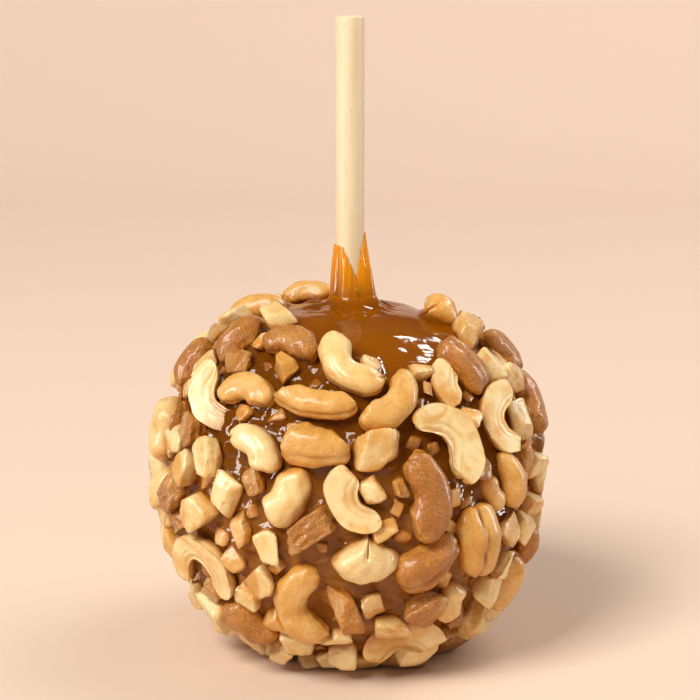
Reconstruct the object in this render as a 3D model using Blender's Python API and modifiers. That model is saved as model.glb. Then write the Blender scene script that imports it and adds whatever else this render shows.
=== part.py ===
"""A caramel apple on a birch stick, rolled in roasted cashews.

The caramel-coated apple is one turned body: a ball with a flat foot, a bore for the stick and a
collar of caramel drawn up the stick into tips. The larger cashews are separate pieces that sit on
the caramel. The chopped nuts between them, and the far nuts past the number of separate pieces,
are lumps joined to the coated apple.

The nuts of the front are placed by hand and then freed of each other. The rest of the apple is
filled from seeded tables: large cashews first, and chopped pieces in the room that is left.

Metres, +Z up, the foot on Z = 0. Longitude 0 is the front (-Y) and grows towards +X.
"""

import math
from collections import namedtuple

import bmesh
import bpy
import numpy as np
from mathutils import Vector

# Driving dimensions, in metres.
WIDE_R = 0.0435  # half the width of the apple with its caramel
TOP_R = 0.0410  # the height of its dome over its widest place
LOW_R = 0.0448  # and the depth of its bowl below that
SHOULDER = 2.2  # the power of its round section: 2 would be an ellipse
CRUST = 0.0063  # how far the nuts reach past the caramel at most
FOOT_R = 0.0170  # the flat spot it stands on
STICK_R = 0.0035
STICK_LENGTH = 0.1440
STICK_TOP = 0.1544
STICK_CHAMFER = 0.0004
GAP = 0.0003  # kept between pieces that touch

# The collar: caramel drawn up the stick, from its foot on the ball to its ragged tips.
COLLAR_R = 0.0052
COLLAR_LIP = 0.0005
COLLAR_BASE_Z = 0.0878
COLLAR_NOTCH_Z = 0.0920
# Each tip's longitude, its height over the notch and half its width in degrees.
COLLAR_TIPS = [(-55, 0.0080, 62), (76, 0.0102, 44), (165, 0.0045, 40), (-125, 0.0035, 34)]

TURN_STEPS = 32
BALL_STEPS = 14
FLARE_LAT = 74  # where the collar's flare meets the ball, and where the foot does
FOOT_LAT = -66
STICK_SIDES = 24
NUT_SIDES = 8
NUT_RINGS = 6
SINK = 0.0010  # how deep a nut lies in the caramel
LUMP_ROOT = 0.0018  # how much deeper a joined lump reaches
BED = 0.0004  # the clearance under a nut, over the ball
FLOOR_GAP = 0.0001  # the low nuts stop this far over the ground
SEPARATE_NUTS = 58
LARGEST = 26  # no two nuts can touch whose middles are this many millimetres apart
FAR_NUTS = 26
# The chopped pieces: length in millimetres, the places tried and the most that are kept.
CHUNKS = [(10.5, 700, 14), (8.5, 900, 7), (7, 1100, 6)]
FRONT = np.array([0, -0.98, 0.2])  # where a nut with front = 1 shows its broad side
LOWEST_LAT = -61  # the nuts of the filled parts stop short of the foot
# Pockets among the nuts of the front where the caramel shows: longitude, latitude and radius in
# degrees.
POCKETS = [(-21, 44, 6), (-31, 6, 6), (12, -24, 8), (22, 24, 4)]
SPREAD_ROUNDS = 40
SHRINK = 0.98  # by how much in one round
NUT_LEAST = 0.93  # how small a nut may become to fit, by its own size
CHIP_LEAST = 0.66  # and a chip
PUSH = 0.3  # the share of an overlap that each piece gives way by in one round
TIGHT = 0.0003  # pieces that go deeper than this into each other shrink
HALF_DEPTH = 1.25  # how deep a half nut is, by its half width
MM = 0.001

TONES = {
    "pale": (0.82, 0.66, 0.40),
    "tan": (0.69, 0.40, 0.13),
    "roasted": (0.46, 0.19, 0.055),
}

NODE_NAMES = {
    "whole": "cashew_whole",
    "half": "cashew_half",
    "split": "cashew_split",
    "broken": "cashew_broken",
    "chunk": "cashew_chunk",
}

Nut = namedtuple("Nut", "kind lon lat opens size curl fat roll front tone")
Seated = namedtuple("Seated", "nut axes middle skin")

# The cashews placed one by one, over the front and the shoulders. In each row:
# kind: whole, half (its round back out), split (its flat face out), broken (blunt ends) or chunk
# longitude and latitude on the apple, and the compass of the hollow side: 0 east, 90 north
# size: the length in millimetres; curl: half the arc of the nut; fat: its half width by its length
# roll: how far the back of the nut is turned outwards
# front: how far its broad side looks to the front and not straight out, from 0 to 1
# tone: the colour of its roast
PLACED = [
    Nut("whole", -2, 44, 40, 19, 80, 0.205, 0, 0, "pale"),
    Nut("whole", -26, 49, 258, 14.5, 80, 0.26, 0, 0.1, "roasted"),
    Nut("whole", -62, 49, 350, 14, 60, 0.30, 60, 0, "roasted"),
    Nut("whole", -36, 36, 270, 15, 80, 0.22, 0, 0.1, "tan"),
    Nut("chunk", -28, 42, 60, 7.5, 0, 0.42, 0, 0, "tan"),
    Nut("split", -51, 29, 35, 17, 85, 0.19, 0, 0.5, "pale"),
    Nut("broken", -12, 28.5, 80, 22.5, 42, 0.15, 20, 0, "tan"),
    Nut("broken", -9, 20, 85, 17, 40, 0.28, 50, 0, "tan"),
    Nut("whole", -29, 18, 238, 15, 60, 0.24, 0, 0, "pale"),
    Nut("half", -17, 7, 155, 18.5, 40, 0.27, 0, 0, "pale"),
    Nut("split", 0, 5, 30, 17, 80, 0.22, 0, 0, "pale"),
    Nut("whole", 19.5, 7, 185, 22, 65, 0.21, 0, 0, "roasted"),
    Nut("whole", 13, 30, 135, 17.5, 75, 0.21, 0, 0, "tan"),
    Nut("split", 31, 20, 215, 20, 85, 0.20, 0, 0.1, "pale"),
    Nut("split", 36, 36, 0, 12.5, 50, 0.25, 0, 0.2, "pale"),
    Nut("whole", 49, 40, 15, 16, 50, 0.23, 80, 0, "roasted"),
    Nut("split", 54, 22, 0, 16, 95, 0.21, 0, 0.4, "pale"),
    Nut("whole", 55, 6, 190, 16, 50, 0.21, 60, 0.2, "tan"),
    Nut("half", 47, 2, 30, 11, 45, 0.25, 0, 0.4, "tan"),
    Nut("whole", 42, -12, 10, 20, 45, 0.29, 80, 0.1, "tan"),
    Nut("whole", 24, -15, 125, 17, 50, 0.28, 75, 0, "roasted"),
    Nut("half", 5, -13, 90, 15, 60, 0.38, 0, 0, "pale"),
    Nut("chunk", -12, -5, 130, 15, 0, 0.29, 0, 0, "roasted"),
    Nut("whole", -14, -27, 5, 20, 90, 0.20, 0, 0.4, "tan"),
    Nut("chunk", -1, -30, 15, 13, 0, 0.25, 0, 0.4, "roasted"),
    Nut("split", 20, -44, 283, 18, 80, 0.22, 0, 0.7, "tan"),
    Nut("chunk", 31, -60, 90, 10, 0, 0.42, 0, 0.5, "roasted"),
    Nut("split", -52, -21, 262, 16.5, 125, 0.19, 0, 0.15, "pale"),
    Nut("whole", -39, -40, 40, 15, 50, 0.29, 75, 0, "roasted"),
    Nut("chunk", -68, -49, 130, 11, 0, 0.38, 0, 0.5, "tan"),
    Nut("split", 58, -43, 30, 14.5, 85, 0.22, 0, 0.6, "pale"),
    Nut("whole", 68, -30, 180, 18, 50, 0.22, 30, 0.2, "tan"),
    Nut("half", 35, -31, 0, 13, 35, 0.25, 0, 0.4, "pale"),
    Nut("whole", 72, -20, 200, 14, 50, 0.24, 60, 0, "roasted"),
    Nut("whole", 70, -57, 100, 13, 55, 0.33, 0, 0.4, "roasted"),
    Nut("half", -84, 13, 0, 17, 45, 0.27, 0, 0.3, "pale"),
    Nut("whole", -83, 35, 0, 14, 60, 0.26, 45, 0, "roasted"),
    Nut("half", -109, 58, 270, 17, 45, 0.22, 0, 0.75, "tan"),
    Nut("whole", -150, 62, 270, 14, 55, 0.22, 0, 0.75, "tan"),
    Nut("half", 86, 61, 180, 12, 40, 0.34, 0, 0.4, "tan"),
    Nut("chunk", 70, 49, 120, 11, 0, 0.38, 0, 0.2, "tan"),
    Nut("whole", 92, 38, 200, 15, 60, 0.26, 20, 0, "roasted"),
    Nut("broken", 84, 22, 180, 15, 60, 0.25, 0, 0.3, "roasted"),
    Nut("half", -78, -4, 320, 14, 60, 0.26, 0, 0.4, "pale"),
    Nut("chunk", 10, 19, 95, 12, 0, 0.38, 0, 0, "tan"),
]


def chip(lon, lat, opens, size, tone, fat=0.4, front=0.0):
    """A chopped piece: its long side lies across the compass that opens gives."""
    return Nut("chunk", lon, lat, opens, size, 0, fat, 0, front, tone)


# The chopped pieces placed one by one, between the cashews of the front.
CHIPS = [
    chip(-57, 58, 60, 9, "pale"),
    chip(8, 45, 90, 5.5, "tan", 0.4),
    chip(23, 39, 80, 7.5, "tan"),
    chip(64, 38, 20, 9, "pale", 0.42),
    chip(66, 19, 10, 9, "tan", 0.36, 0.3),
    chip(74, 5, 0, 8, "pale", 0.42, 0.3),
    chip(8, 10, 20, 9, "pale", 0.38),
    chip(13, 3, 60, 5, "tan"),
    chip(32, 3, 10, 5, "pale", 0.36),
    chip(28, -5, 50, 5, "pale", 0.38),
    chip(36, -19, 0, 7, "pale", 0.36),
    chip(52, -29, 60, 8, "pale", 0.36, 0.3),
    chip(55, -9, 30, 9, "pale", 0.36, 0.2),
    chip(72, -7, 0, 8, "tan", 0.38, 0.3),
    chip(79, -14, 50, 8, "pale"),
    chip(80, 0, 20, 7, "pale"),
    chip(5, -28, 20, 7, "pale", 0.38, 0.3),
    chip(-1, -56, 10, 10, "pale", 0.38, 0.4),
    chip(-28, 8, 30, 7, "roasted", 0.4),
    chip(-36, 3, 160, 12, "pale", 0.33),
    chip(-49, -3, 120, 10, "tan", 0.42, 0.2),
    chip(-34, -7, 20, 9, "tan", 0.36),
    chip(-26, -12, 5, 9, "pale", 0.36),
    chip(-34, -18, 30, 9, "tan", 0.42, 0.2),
    chip(-24, -21, 130, 10, "tan", 0.4),
    chip(-50, -59, 20, 9, "pale", 0.38, 0.3),
    chip(-31, -53, 140, 10, "tan", 0.38, 0.3),
    chip(-20, -62, 0, 9, "tan", 0.4, 0.3),
    chip(-12, -60, 20, 9, "pale", 0.38, 0.3),
    chip(-46, 13, 10, 10, "pale", 0.4),
    chip(-55, 18, 60, 8, "roasted", 0.42),
    chip(-57, 8, 160, 9, "tan", 0.38, 0.2),
    chip(-70, 21, 10, 8, "roasted", 0.38),
    chip(-90, 52, 80, 9, "pale"),
    chip(-94, 45, 60, 8, "roasted"),
    chip(-90, 2, 120, 12, "pale", 0.42, 0.3),
    chip(-79, -11, 60, 8, "tan"),
    chip(-80, -20, 20, 9, "tan", 0.4, 0.2),
    chip(-66, -10, 120, 7, "roasted"),
    chip(-76, -28, 30, 7, "tan"),
    chip(-74, -37, 10, 9, "pale", 0.36, 0.3),
    chip(-4, -42, 90, 6, "pale"),
    chip(75, -47, 30, 11, "pale", 0.4, 0.3),
    chip(85, -42, 60, 8, "roasted"),
    chip(89, 8, 20, 7, "roasted"),
    chip(86, -8, 40, 7, "roasted"),
    chip(12, -60, 90, 9, "tan", 0.36, 0.4),
    chip(43, -57, 60, 8, "tan", 0.38, 0.3),
]


# Where the nuts go.


def crown(lon):
    """The latitude above which the caramel is bare: it dips in front, and more behind."""
    behind = (lon - 160 + 180) % 360 - 180
    dip = 8 * np.exp(-(((lon - 25) / 30) ** 2)) + 20 * np.exp(-((behind / 55) ** 2))
    return 57 - 6 * np.cos(np.radians(lon - 25)) - dip


def bare(lon, lat):
    """Whether a place is kept free of nuts: above the crown, near the foot or in a pocket."""
    shrink = math.cos(math.radians(lat))
    pocket = any(math.hypot((lon - at) * shrink, lat - high) < wide for at, high, wide in POCKETS)
    return pocket or not LOWEST_LAT < lat < crown(lon)


def coat(lat):
    """The coated apple's radius at a latitude: its section is |x/a|^n + |z/b|^n = 1, with one b
    for the dome and one for the bowl."""
    wide = np.cos(np.radians(lat)) / WIDE_R
    tall = np.sin(np.radians(lat)) / np.where(lat > 0, TOP_R, LOW_R)
    return (np.abs(wide) ** SHOULDER + np.abs(tall) ** SHOULDER) ** (-1 / SHOULDER)


def ball_axes(lon, lat):
    """The east, north and outward directions at a place on the apple, as rows."""
    lon, lat = np.radians(lon), np.radians(lat)
    east = (np.cos(lon), np.sin(lon), 0)
    north = (-np.sin(lat) * np.sin(lon), np.sin(lat) * np.cos(lon), np.cos(lat))
    out = (np.cos(lat) * np.sin(lon), -np.cos(lat) * np.cos(lon), np.sin(lat))
    return np.array([east, north, out])


def coat_place(lon, lat):
    """The point on the coat at a place on the apple, and the coat's own normal there."""
    _, north, out = ball_axes(lon, lat)
    slope = (coat(lat + 1) - coat(lat - 1)) / math.radians(2) / coat(lat)
    normal = out - slope * north
    return coat(lat) * out + (0, 0, LOW_R), normal / np.linalg.norm(normal)


def lattice(count):
    """Places spread evenly over the ball by the golden angle, from the top down."""
    step = np.arange(count)
    lat = np.degrees(np.arcsin(1 - (2 * step + 1) / count))
    lon = (step * 137.50776) % 360 - 180
    return np.column_stack([lon, lat])


# The shape of a nut, as functions of the place x along it from -1 to 1 and the angle psi round it.


def spine(nut):
    """A cashew's arc: half its angle, the radius of its middle line, its half width, and how far
    the arc's centre lies from the middle of the nut."""
    arc = math.radians(nut.curl)
    width = nut.fat * nut.size * MM
    radius = (nut.size * MM / 2 - 0.4 * width) / math.sin(min(arc, math.pi / 2))
    return arc, radius, width, (radius * (1 + math.cos(arc)) + 0.5 * width) / 2


def section(nut, x):
    """A cashew's half width along it: it tapers to its ends as (1 - |x|^n)^(1/2), with n large
    where the nut is broken off."""
    taper = np.sqrt(np.clip(1 - np.abs(x) ** (12 if nut.kind == "broken" else 3.5), 0, 1))
    return nut.fat * nut.size * MM * (1 + 0.12 * x) * taper


def cashew(nut, x, psi):
    """A bent spindle, hollow side to +X and chord along Y: an arc that carries the section."""
    arc, radius, _, middle = spine(nut)
    reach = radius + section(nut, x) * np.cos(psi)
    height = section(nut, x) * np.sin(psi)
    if nut.kind == "half":
        height = np.maximum(HALF_DEPTH * height, 0)
    if nut.kind == "split":
        height = np.minimum(HALF_DEPTH * height, 0)
    return np.stack([middle - reach * np.cos(arc * x), reach * np.sin(arc * x), height], axis=-1)


def chunk(nut, facing, crisp=12):
    """A chopped piece: planes cut round a stretched ball. In each direction the surface is where
    the soft maximum of the planes' distances reaches one; its edges get sharper with crisp."""
    rng = np.random.default_rng(int(nut.size * 1000 + nut.opens))
    planes = np.vstack([np.eye(3), -np.eye(3), rng.normal(size=(2, 3))])
    planes += rng.normal(0, 0.22, planes.shape)
    planes /= np.linalg.norm(planes, axis=1)[:, None]
    reach = rng.uniform(0.78, 0.98, len(planes))
    cut = np.clip(facing @ planes.T / reach, 0, None)
    radius = np.sum(cut**crisp, axis=-1) ** (-1 / crisp)
    half = np.array([nut.fat, 0.5, 0.85 * nut.fat]) * nut.size * MM
    return facing * radius[..., None] * half


def shape(nut, facing):
    """A nut's surface in its own frame, from directions on the unit ball, poles on Z."""
    if nut.kind == "chunk":
        return chunk(nut, facing)
    return cashew(nut, facing[..., 2], np.arctan2(facing[..., 1], facing[..., 0]))


def nut_axes(nut):
    """The nut frame in the world: its hollow side, its chord and its broad side, as rows."""
    out = (1 - nut.front) * ball_axes(nut.lon, nut.lat)[2] + nut.front * FRONT
    out /= np.linalg.norm(out)
    east = np.cross((0, 0, 1), out)
    east /= np.linalg.norm(east)
    opens, roll = math.radians(nut.opens), math.radians(nut.roll)
    hollow = math.cos(opens) * east + math.sin(opens) * np.cross(out, east)
    chord = np.cross(out, hollow)
    back_out = math.cos(roll) * hollow - math.sin(roll) * out
    return np.array([back_out, chord, math.sin(roll) * hollow + math.cos(roll) * out])


def probe(rings=9, sides=12):
    """Directions over the unit ball, for measuring a nut."""
    up = np.cos(np.linspace(0, math.pi, rings))[:, None]
    turn = np.linspace(0, 2 * math.pi, sides, endpoint=False)
    flat = np.sqrt(1 - up**2)
    return np.stack([flat * np.cos(turn), flat * np.sin(turn), up + 0 * turn], axis=-1)


def seat(nut):
    """The nut's axes and its middle: sunk in the caramel, but no prouder than the crust."""
    axes, out = nut_axes(nut), ball_axes(nut.lon, nut.lat)[2]
    lift = shape(nut, probe()) @ axes @ out
    radius = coat(nut.lat) + min(-SINK - lift.min(), CRUST - lift.max())
    return axes, radius * out + (0, 0, LOW_R)


def placed(nut, facing):
    """The nut's surface in the world."""
    axes, middle = seat(nut)
    return middle + shape(nut, facing) @ axes


def depth_in(nut, axes, middle, points):
    """How deep the deepest of some points lies in a nut (less than 0 outside it), and the way
    out from there."""
    local = (points - middle) @ axes.T
    if nut.kind == "chunk":
        far = np.linalg.norm(local, axis=-1)
        way = local / far[:, None]
        depth = np.linalg.norm(chunk(nut, way), axis=-1) - far
    else:
        arc, radius, _, centre = spine(nut)
        x = np.clip(np.arctan2(local[:, 1], centre - local[:, 0]) / arc, -1, 1)
        line = np.stack([centre - radius * np.cos(arc * x), radius * np.sin(arc * x), 0 * x], axis=-1)
        way = local - line
        if nut.kind in ("half", "split"):
            way = way / (1, 1, HALF_DEPTH)
        far = np.linalg.norm(way, axis=-1)
        way /= far[:, None]
        depth = section(nut, x) - far
        if nut.kind == "half":
            depth = np.minimum(depth, local[:, 2])
        if nut.kind == "split":
            depth = np.minimum(depth, -local[:, 2])
    deepest = np.argmax(depth)
    return depth[deepest], way[deepest] @ axes


def clash(a, b):
    """How far two seated nuts go into each other, with the gap between them counted in, and the
    direction that frees the first."""
    apart = np.linalg.norm(a.middle - b.middle)
    if apart > (a.nut.size + b.nut.size) * MM / 2 + 2 * GAP:
        return 0, np.zeros(3)
    ahead, push = depth_in(b.nut, b.axes, b.middle, a.skin)
    behind, back = depth_in(a.nut, a.axes, a.middle, b.skin)
    if behind > ahead:
        ahead, push = behind, -back
    return max(ahead + GAP, 0), push


def seated(nut):
    """A nut with its seat and points on its surface, ready for measuring."""
    axes, middle = seat(nut)
    return Seated(nut, axes, middle, (middle + shape(nut, probe()) @ axes).reshape(-1, 3))


def nudged(nut, push):
    """The nut moved over the ball by a world vector, as new degrees."""
    east, north, _ = ball_axes(nut.lon, nut.lat)
    lat = nut.lat + math.degrees(push @ north / WIDE_R)
    lon = nut.lon + math.degrees(push @ east / WIDE_R) / math.cos(math.radians(lat))
    return nut._replace(lon=lon, lat=lat)


def spread(nuts, chips):
    """Frees overlapping nuts of each other: in each round they move apart over the ball, a chip
    more readily than a nut, and those that overlap shrink a little."""
    count = len(nuts)
    pieces = list(nuts) + list(chips)
    least = [piece.size * (NUT_LEAST if k < count else CHIP_LEAST) for k, piece in enumerate(pieces)]
    for _ in range(SPREAD_ROUNDS):
        seats = [seated(piece) for piece in pieces]
        pushes = np.zeros((len(pieces), 3))
        crowd = np.zeros(len(pieces))
        for i in range(len(pieces)):
            for j in range(i):
                depth, away = clash(seats[i], seats[j])
                if depth == 0:
                    continue
                firm = j < count <= i  # a nut stays where it is when a chip meets it
                pushes[i] += (2 if firm else 1) * PUSH * depth * away
                crowd[i] = max(crowd[i], depth)
                if not firm:
                    pushes[j] -= PUSH * depth * away
                    crowd[j] = max(crowd[j], depth)
        for k, piece in enumerate(pieces):
            share = SHRINK if crowd[k] > TIGHT else 1
            pieces[k] = nudged(piece, pushes[k])._replace(size=max(least[k], share * piece.size))
    return pieces[:count], clear_of(pieces[:count], pieces[count:])


def clear_of(nuts, chips):
    """The chips that overlap no nut and no chip before them."""
    kept = [seated(nut) for nut in nuts]
    for piece in chips:
        own = seated(piece)
        if max(clash(own, other)[0] for other in kept) < GAP:
            kept.append(own)
    return [one.nut for one in kept[len(nuts):]]


def fill(nuts, places, make, most):
    """Adds make(lon, lat) at each place in turn where it stays clear of the nuts already there."""
    taken = [seated(nut) for nut in nuts]
    middles = [one.middle for one in taken]
    for lon, lat in places:
        if len(taken) == len(nuts) + most:
            break
        if bare(lon, lat):
            continue
        own = seated(make(lon, lat))
        apart = np.linalg.norm(np.array(middles) - own.middle, axis=1)
        near = np.flatnonzero(apart < LARGEST * MM)
        if all(clash(own, taken[k])[0] == 0 for k in near):
            taken.append(own)
            middles.append(own.middle)
    return [one.nut for one in taken[len(nuts):]]


def far_cashew(rng):
    """A maker of large nuts of mixed kinds for the side that no row of PLACED covers."""

    def make(lon, lat):
        kind = rng.choice(["whole", "whole", "half", "split", "broken"])
        return Nut(
            kind,
            lon,
            lat,
            rng.integers(360),
            rng.uniform(15, 21),
            rng.uniform(50, 85),
            rng.uniform(0.20, 0.24),
            rng.choice([0, 0, 15, 70]) if kind == "whole" else 0,
            0,
            rng.choice(list(TONES)),
        )

    return make


def chopped(rng, size):
    """A maker of chopped pieces of about one size."""

    def make(lon, lat):
        tone, fat = rng.choice(list(TONES)), rng.uniform(0.34, 0.46)
        return chip(lon, lat, rng.integers(360), size * rng.uniform(0.85, 1.15), tone, fat)

    return make


def crust():
    """Every nut: the separate ones first, then those that are joined to the caramel."""
    rng = np.random.default_rng(11)
    large, small = spread(PLACED, CHIPS)
    far = fill(large + small, rng.permutation(lattice(500)), far_cashew(rng), FAR_NUTS)
    large += far[: SEPARATE_NUTS - len(large)]
    small += far[SEPARATE_NUTS - len(PLACED) :]
    for size, tries, most in CHUNKS:
        places = rng.permutation(lattice(tries))
        small += fill(large + small, places, chopped(rng, size), most)
    return large, small


# The pieces.


def clear_scene():
    for obj in list(bpy.data.objects):
        bpy.data.objects.remove(obj, do_unlink=True)


def collection(name):
    made = bpy.data.collections.new(name)
    bpy.context.scene.collection.children.link(made)
    return made


def material(name, colour, roughness):
    """A Principled finish of one colour."""
    finish = bpy.data.materials.new(name)
    finish.use_nodes = True
    shader = finish.node_tree.nodes["Principled BSDF"]
    shader.inputs["Base Color"].default_value = (*colour, 1)
    shader.inputs["Roughness"].default_value = roughness
    return finish


def add_object(name, mesh, home, finish):
    obj = bpy.data.objects.new(name, mesh)
    home.objects.link(obj)
    mesh.materials.append(finish)
    mesh.shade_smooth()
    mesh.set_sharp_from_angle(angle=math.radians(40))
    return obj


def make_stick(home, finish):
    """A round dowel with its end edges eased."""
    bm = bmesh.new()
    bmesh.ops.create_cone(
        bm, cap_ends=True, segments=STICK_SIDES, radius1=STICK_R, radius2=STICK_R, depth=STICK_LENGTH
    )
    ends = [edge for edge in bm.edges if abs(edge.verts[0].co.z - edge.verts[1].co.z) < STICK_R]
    bmesh.ops.bevel(bm, geom=ends, offset=STICK_CHAMFER, segments=1, affect="EDGES")
    mesh = bpy.data.meshes.new("stick")
    bm.to_mesh(mesh)
    bm.free()
    stick = add_object("stick", mesh, home, finish)
    stick.location.z = STICK_TOP - STICK_LENGTH / 2
    return stick


def body_profile():
    """The half section of the coated apple: up the bore, over the collar's lip, down the collar
    and its flare, round the ball and across the foot."""
    bore = STICK_R + GAP
    floor_z = STICK_TOP - STICK_LENGTH - GAP
    collar = [
        (bore, COLLAR_NOTCH_Z),
        (bore + COLLAR_LIP, COLLAR_NOTCH_Z),
        (COLLAR_R - 0.0003, COLLAR_BASE_Z + 0.0018),
        (COLLAR_R, COLLAR_BASE_Z),
        (1.15 * COLLAR_R, COLLAR_BASE_Z - 0.0014),
        (1.5 * COLLAR_R, COLLAR_BASE_Z - 0.0024),
    ]
    lats = np.linspace(FLARE_LAT, FOOT_LAT, BALL_STEPS)
    radii = coat(lats)
    turns = np.radians(lats)
    ball = list(zip(radii * np.cos(turns), LOW_R + radii * np.sin(turns)))
    skirt = [(FOOT_R + 0.0008, 0.0010), (FOOT_R, 0), (0, 0)]
    return [(0, floor_z), (bore, floor_z)] + collar + ball + skirt


def collar_height(lon):
    """How far the collar rises over its notch at a longitude: a pointed tip at each place."""
    height = 0
    for tip_lon, rise, half_width in COLLAR_TIPS:
        off = abs((lon - tip_lon + 180) % 360 - 180) / half_width
        height = max(height, rise * (1 - min(off, 1)) ** 0.8)
    return height


def turned(name, profile, home, finish):
    """A profile of (radius, height) pairs turned round Z by a Screw modifier, as a plain mesh."""
    bm = bmesh.new()
    points = [bm.verts.new((radius, 0, height)) for radius, height in profile]
    for a, b in zip(points, points[1:]):
        bm.edges.new((a, b))
    mesh = bpy.data.meshes.new(name + "_profile")
    bm.to_mesh(mesh)
    bm.free()
    guide = add_object(name + "_profile", mesh, home, finish)
    screw = guide.modifiers.new("turn", "SCREW")
    screw.steps = screw.render_steps = TURN_STEPS
    screw.use_merge_vertices = True
    screw.merge_threshold = 1e-5
    graph = bpy.context.evaluated_depsgraph_get()
    result = bpy.data.meshes.new_from_object(guide.evaluated_get(graph))
    bpy.data.objects.remove(guide, do_unlink=True)
    result.name = name
    return result


def make_body(home, cutters, finish, lumps):
    """The coated apple, its collar pulled up into tips, with the lumps joined on."""
    mesh = turned("coated_apple", body_profile(), home, finish)
    for vert in mesh.vertices:
        if vert.co.z > COLLAR_BASE_Z + 0.001:
            lon = math.degrees(math.atan2(vert.co.x, -vert.co.y))
            share = (vert.co.z - COLLAR_BASE_Z) / (COLLAR_NOTCH_Z - COLLAR_BASE_Z)
            vert.co.z += share * collar_height(lon)
    mesh.materials.clear()
    body = add_object("coated_apple", mesh, home, finish)
    for index, nut in enumerate(lumps):
        lump = make_nut(f"lump_{index:03d}", nut, cutters, finish, sunk=True)
        lump.hide_render = True
        lump.display_type = "WIRE"
    union = body.modifiers.new("join_lumps", "BOOLEAN")
    union.operation = "UNION"
    union.solver = "EXACT"
    union.operand_type = "COLLECTION"
    union.collection = cutters
    return body


def keep_above(bm, point, normal):
    """Cuts the shape off flat below a plane and closes it."""
    everything = bm.verts[:] + bm.edges[:] + bm.faces[:]
    bmesh.ops.bisect_plane(
        bm, geom=everything, dist=1e-7, plane_co=point, plane_no=normal, clear_inner=True
    )
    rim = [edge for edge in bm.edges if edge.is_boundary]
    if rim:
        bmesh.ops.holes_fill(bm, edges=rim, sides=0)


def make_nut(name, nut, home, finish, sunk=False):
    """A nut from a ball of few faces, cut flat where it meets the caramel and over the ground.
    A sunk one keeps its base, which lies inside the caramel."""
    bm = bmesh.new()
    if nut.kind == "chunk":
        if sunk:
            bmesh.ops.create_cube(bm, size=2)
        else:
            bmesh.ops.create_icosphere(bm, subdivisions=2, radius=1)
    else:
        bmesh.ops.create_uvsphere(bm, u_segments=NUT_SIDES, v_segments=NUT_RINGS, radius=1)
    facing = np.array([vert.co.normalized() for vert in bm.verts])
    for vert, point in zip(bm.verts, placed(nut, facing)):
        vert.co = point
    point, normal = coat_place(nut.lon, nut.lat)
    if sunk:
        bmesh.ops.translate(bm, verts=bm.verts, vec=-LUMP_ROOT * Vector(normal))
    else:
        keep_above(bm, point + BED * normal, normal)
    keep_above(bm, (0, 0, FLOOR_GAP), (0, 0, 1))
    mesh = bpy.data.meshes.new(name)
    bm.to_mesh(mesh)
    bm.free()
    return add_object(name, mesh, home, finish)


def main():
    clear_scene()
    home = collection("caramel_apple")
    cutters = collection("caramel_apple_cutters")
    finishes = {tone: material("nut_" + tone, colour, 0.45) for tone, colour in TONES.items()}
    separate, joined = crust()
    make_stick(home, material("birch", (0.86, 0.72, 0.49), 0.6))
    make_body(home, cutters, material("caramel", (0.24, 0.075, 0.008), 0.12), joined)
    counts = dict.fromkeys(NODE_NAMES, 0)
    for nut in separate:
        counts[nut.kind] += 1
        make_nut(f"{NODE_NAMES[nut.kind]}_{counts[nut.kind]:02d}", nut, home, finishes[nut.tone])


main()
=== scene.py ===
# %% [markdown]
# # A caramel apple rolled in cashews
# The apple stands on its flat foot with a birch stick in its top. It was dipped in caramel, which
# climbed the stick in pointed tips, and then rolled in roasted cashews: whole ones, halves, split
# ones and chopped pieces, pressed side by side into the soft coat.
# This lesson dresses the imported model. The model gives the frame: where the foot is, how big the
# apple is, and which solids each dressed piece stands for.

# %% The frame
import math
from collections import namedtuple

import bpy
import numpy as np
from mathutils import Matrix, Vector


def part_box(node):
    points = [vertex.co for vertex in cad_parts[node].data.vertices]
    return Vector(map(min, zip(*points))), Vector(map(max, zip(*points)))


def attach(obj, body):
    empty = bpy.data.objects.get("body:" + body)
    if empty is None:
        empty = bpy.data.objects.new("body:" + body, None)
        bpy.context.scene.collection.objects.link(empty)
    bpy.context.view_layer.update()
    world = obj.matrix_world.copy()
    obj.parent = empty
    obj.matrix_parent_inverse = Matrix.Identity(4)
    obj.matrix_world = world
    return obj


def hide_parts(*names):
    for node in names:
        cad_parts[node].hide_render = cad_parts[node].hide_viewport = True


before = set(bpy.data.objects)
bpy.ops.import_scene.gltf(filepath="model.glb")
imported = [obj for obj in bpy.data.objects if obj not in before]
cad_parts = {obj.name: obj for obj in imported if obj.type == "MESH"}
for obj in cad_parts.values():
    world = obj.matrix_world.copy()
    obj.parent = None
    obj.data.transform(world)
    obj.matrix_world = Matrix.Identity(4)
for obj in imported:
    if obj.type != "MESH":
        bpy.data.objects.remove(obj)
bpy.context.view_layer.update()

stick_low, stick_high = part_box("stick")

# %% [markdown]
# ## The driving sizes
# Everything is worked out from a few lengths, in metres. They are the same ones that the solids
# were made from, so each dressed nut lies exactly where its solid does. The stick is read from its
# own solid.

# %% Sizes
WIDE_R = 0.0435  # half the width of the apple with its caramel
TOP_R = 0.0410  # the height of its dome over its widest place
LOW_R = 0.0448  # and the depth of its bowl below that
SHOULDER = 2.2  # the power of its round section: 2 would be an ellipse
CRUST = 0.0063  # how far the nuts reach past the caramel at most
FOOT_R = 0.0170  # the flat spot it stands on
STICK_R = (stick_high[0] - stick_low[0]) / 2
STICK_TOP = stick_high[2]
GAP = 0.0003  # kept between two solids
SINK = 0.0010  # how deep a nut lies in the caramel
MM = 0.001
print("stick radius and top:", STICK_R, STICK_TOP)

# %% [markdown]
# ## Where each nut lies
# A crust like this could be scattered by chance, but then it would be any crust. The nuts that
# face the front and the shoulders are placed one by one in a table, by longitude and latitude on
# the apple, with their size, curl and roast. Longitude 0 is the front (-Y) and grows towards +X.

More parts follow.
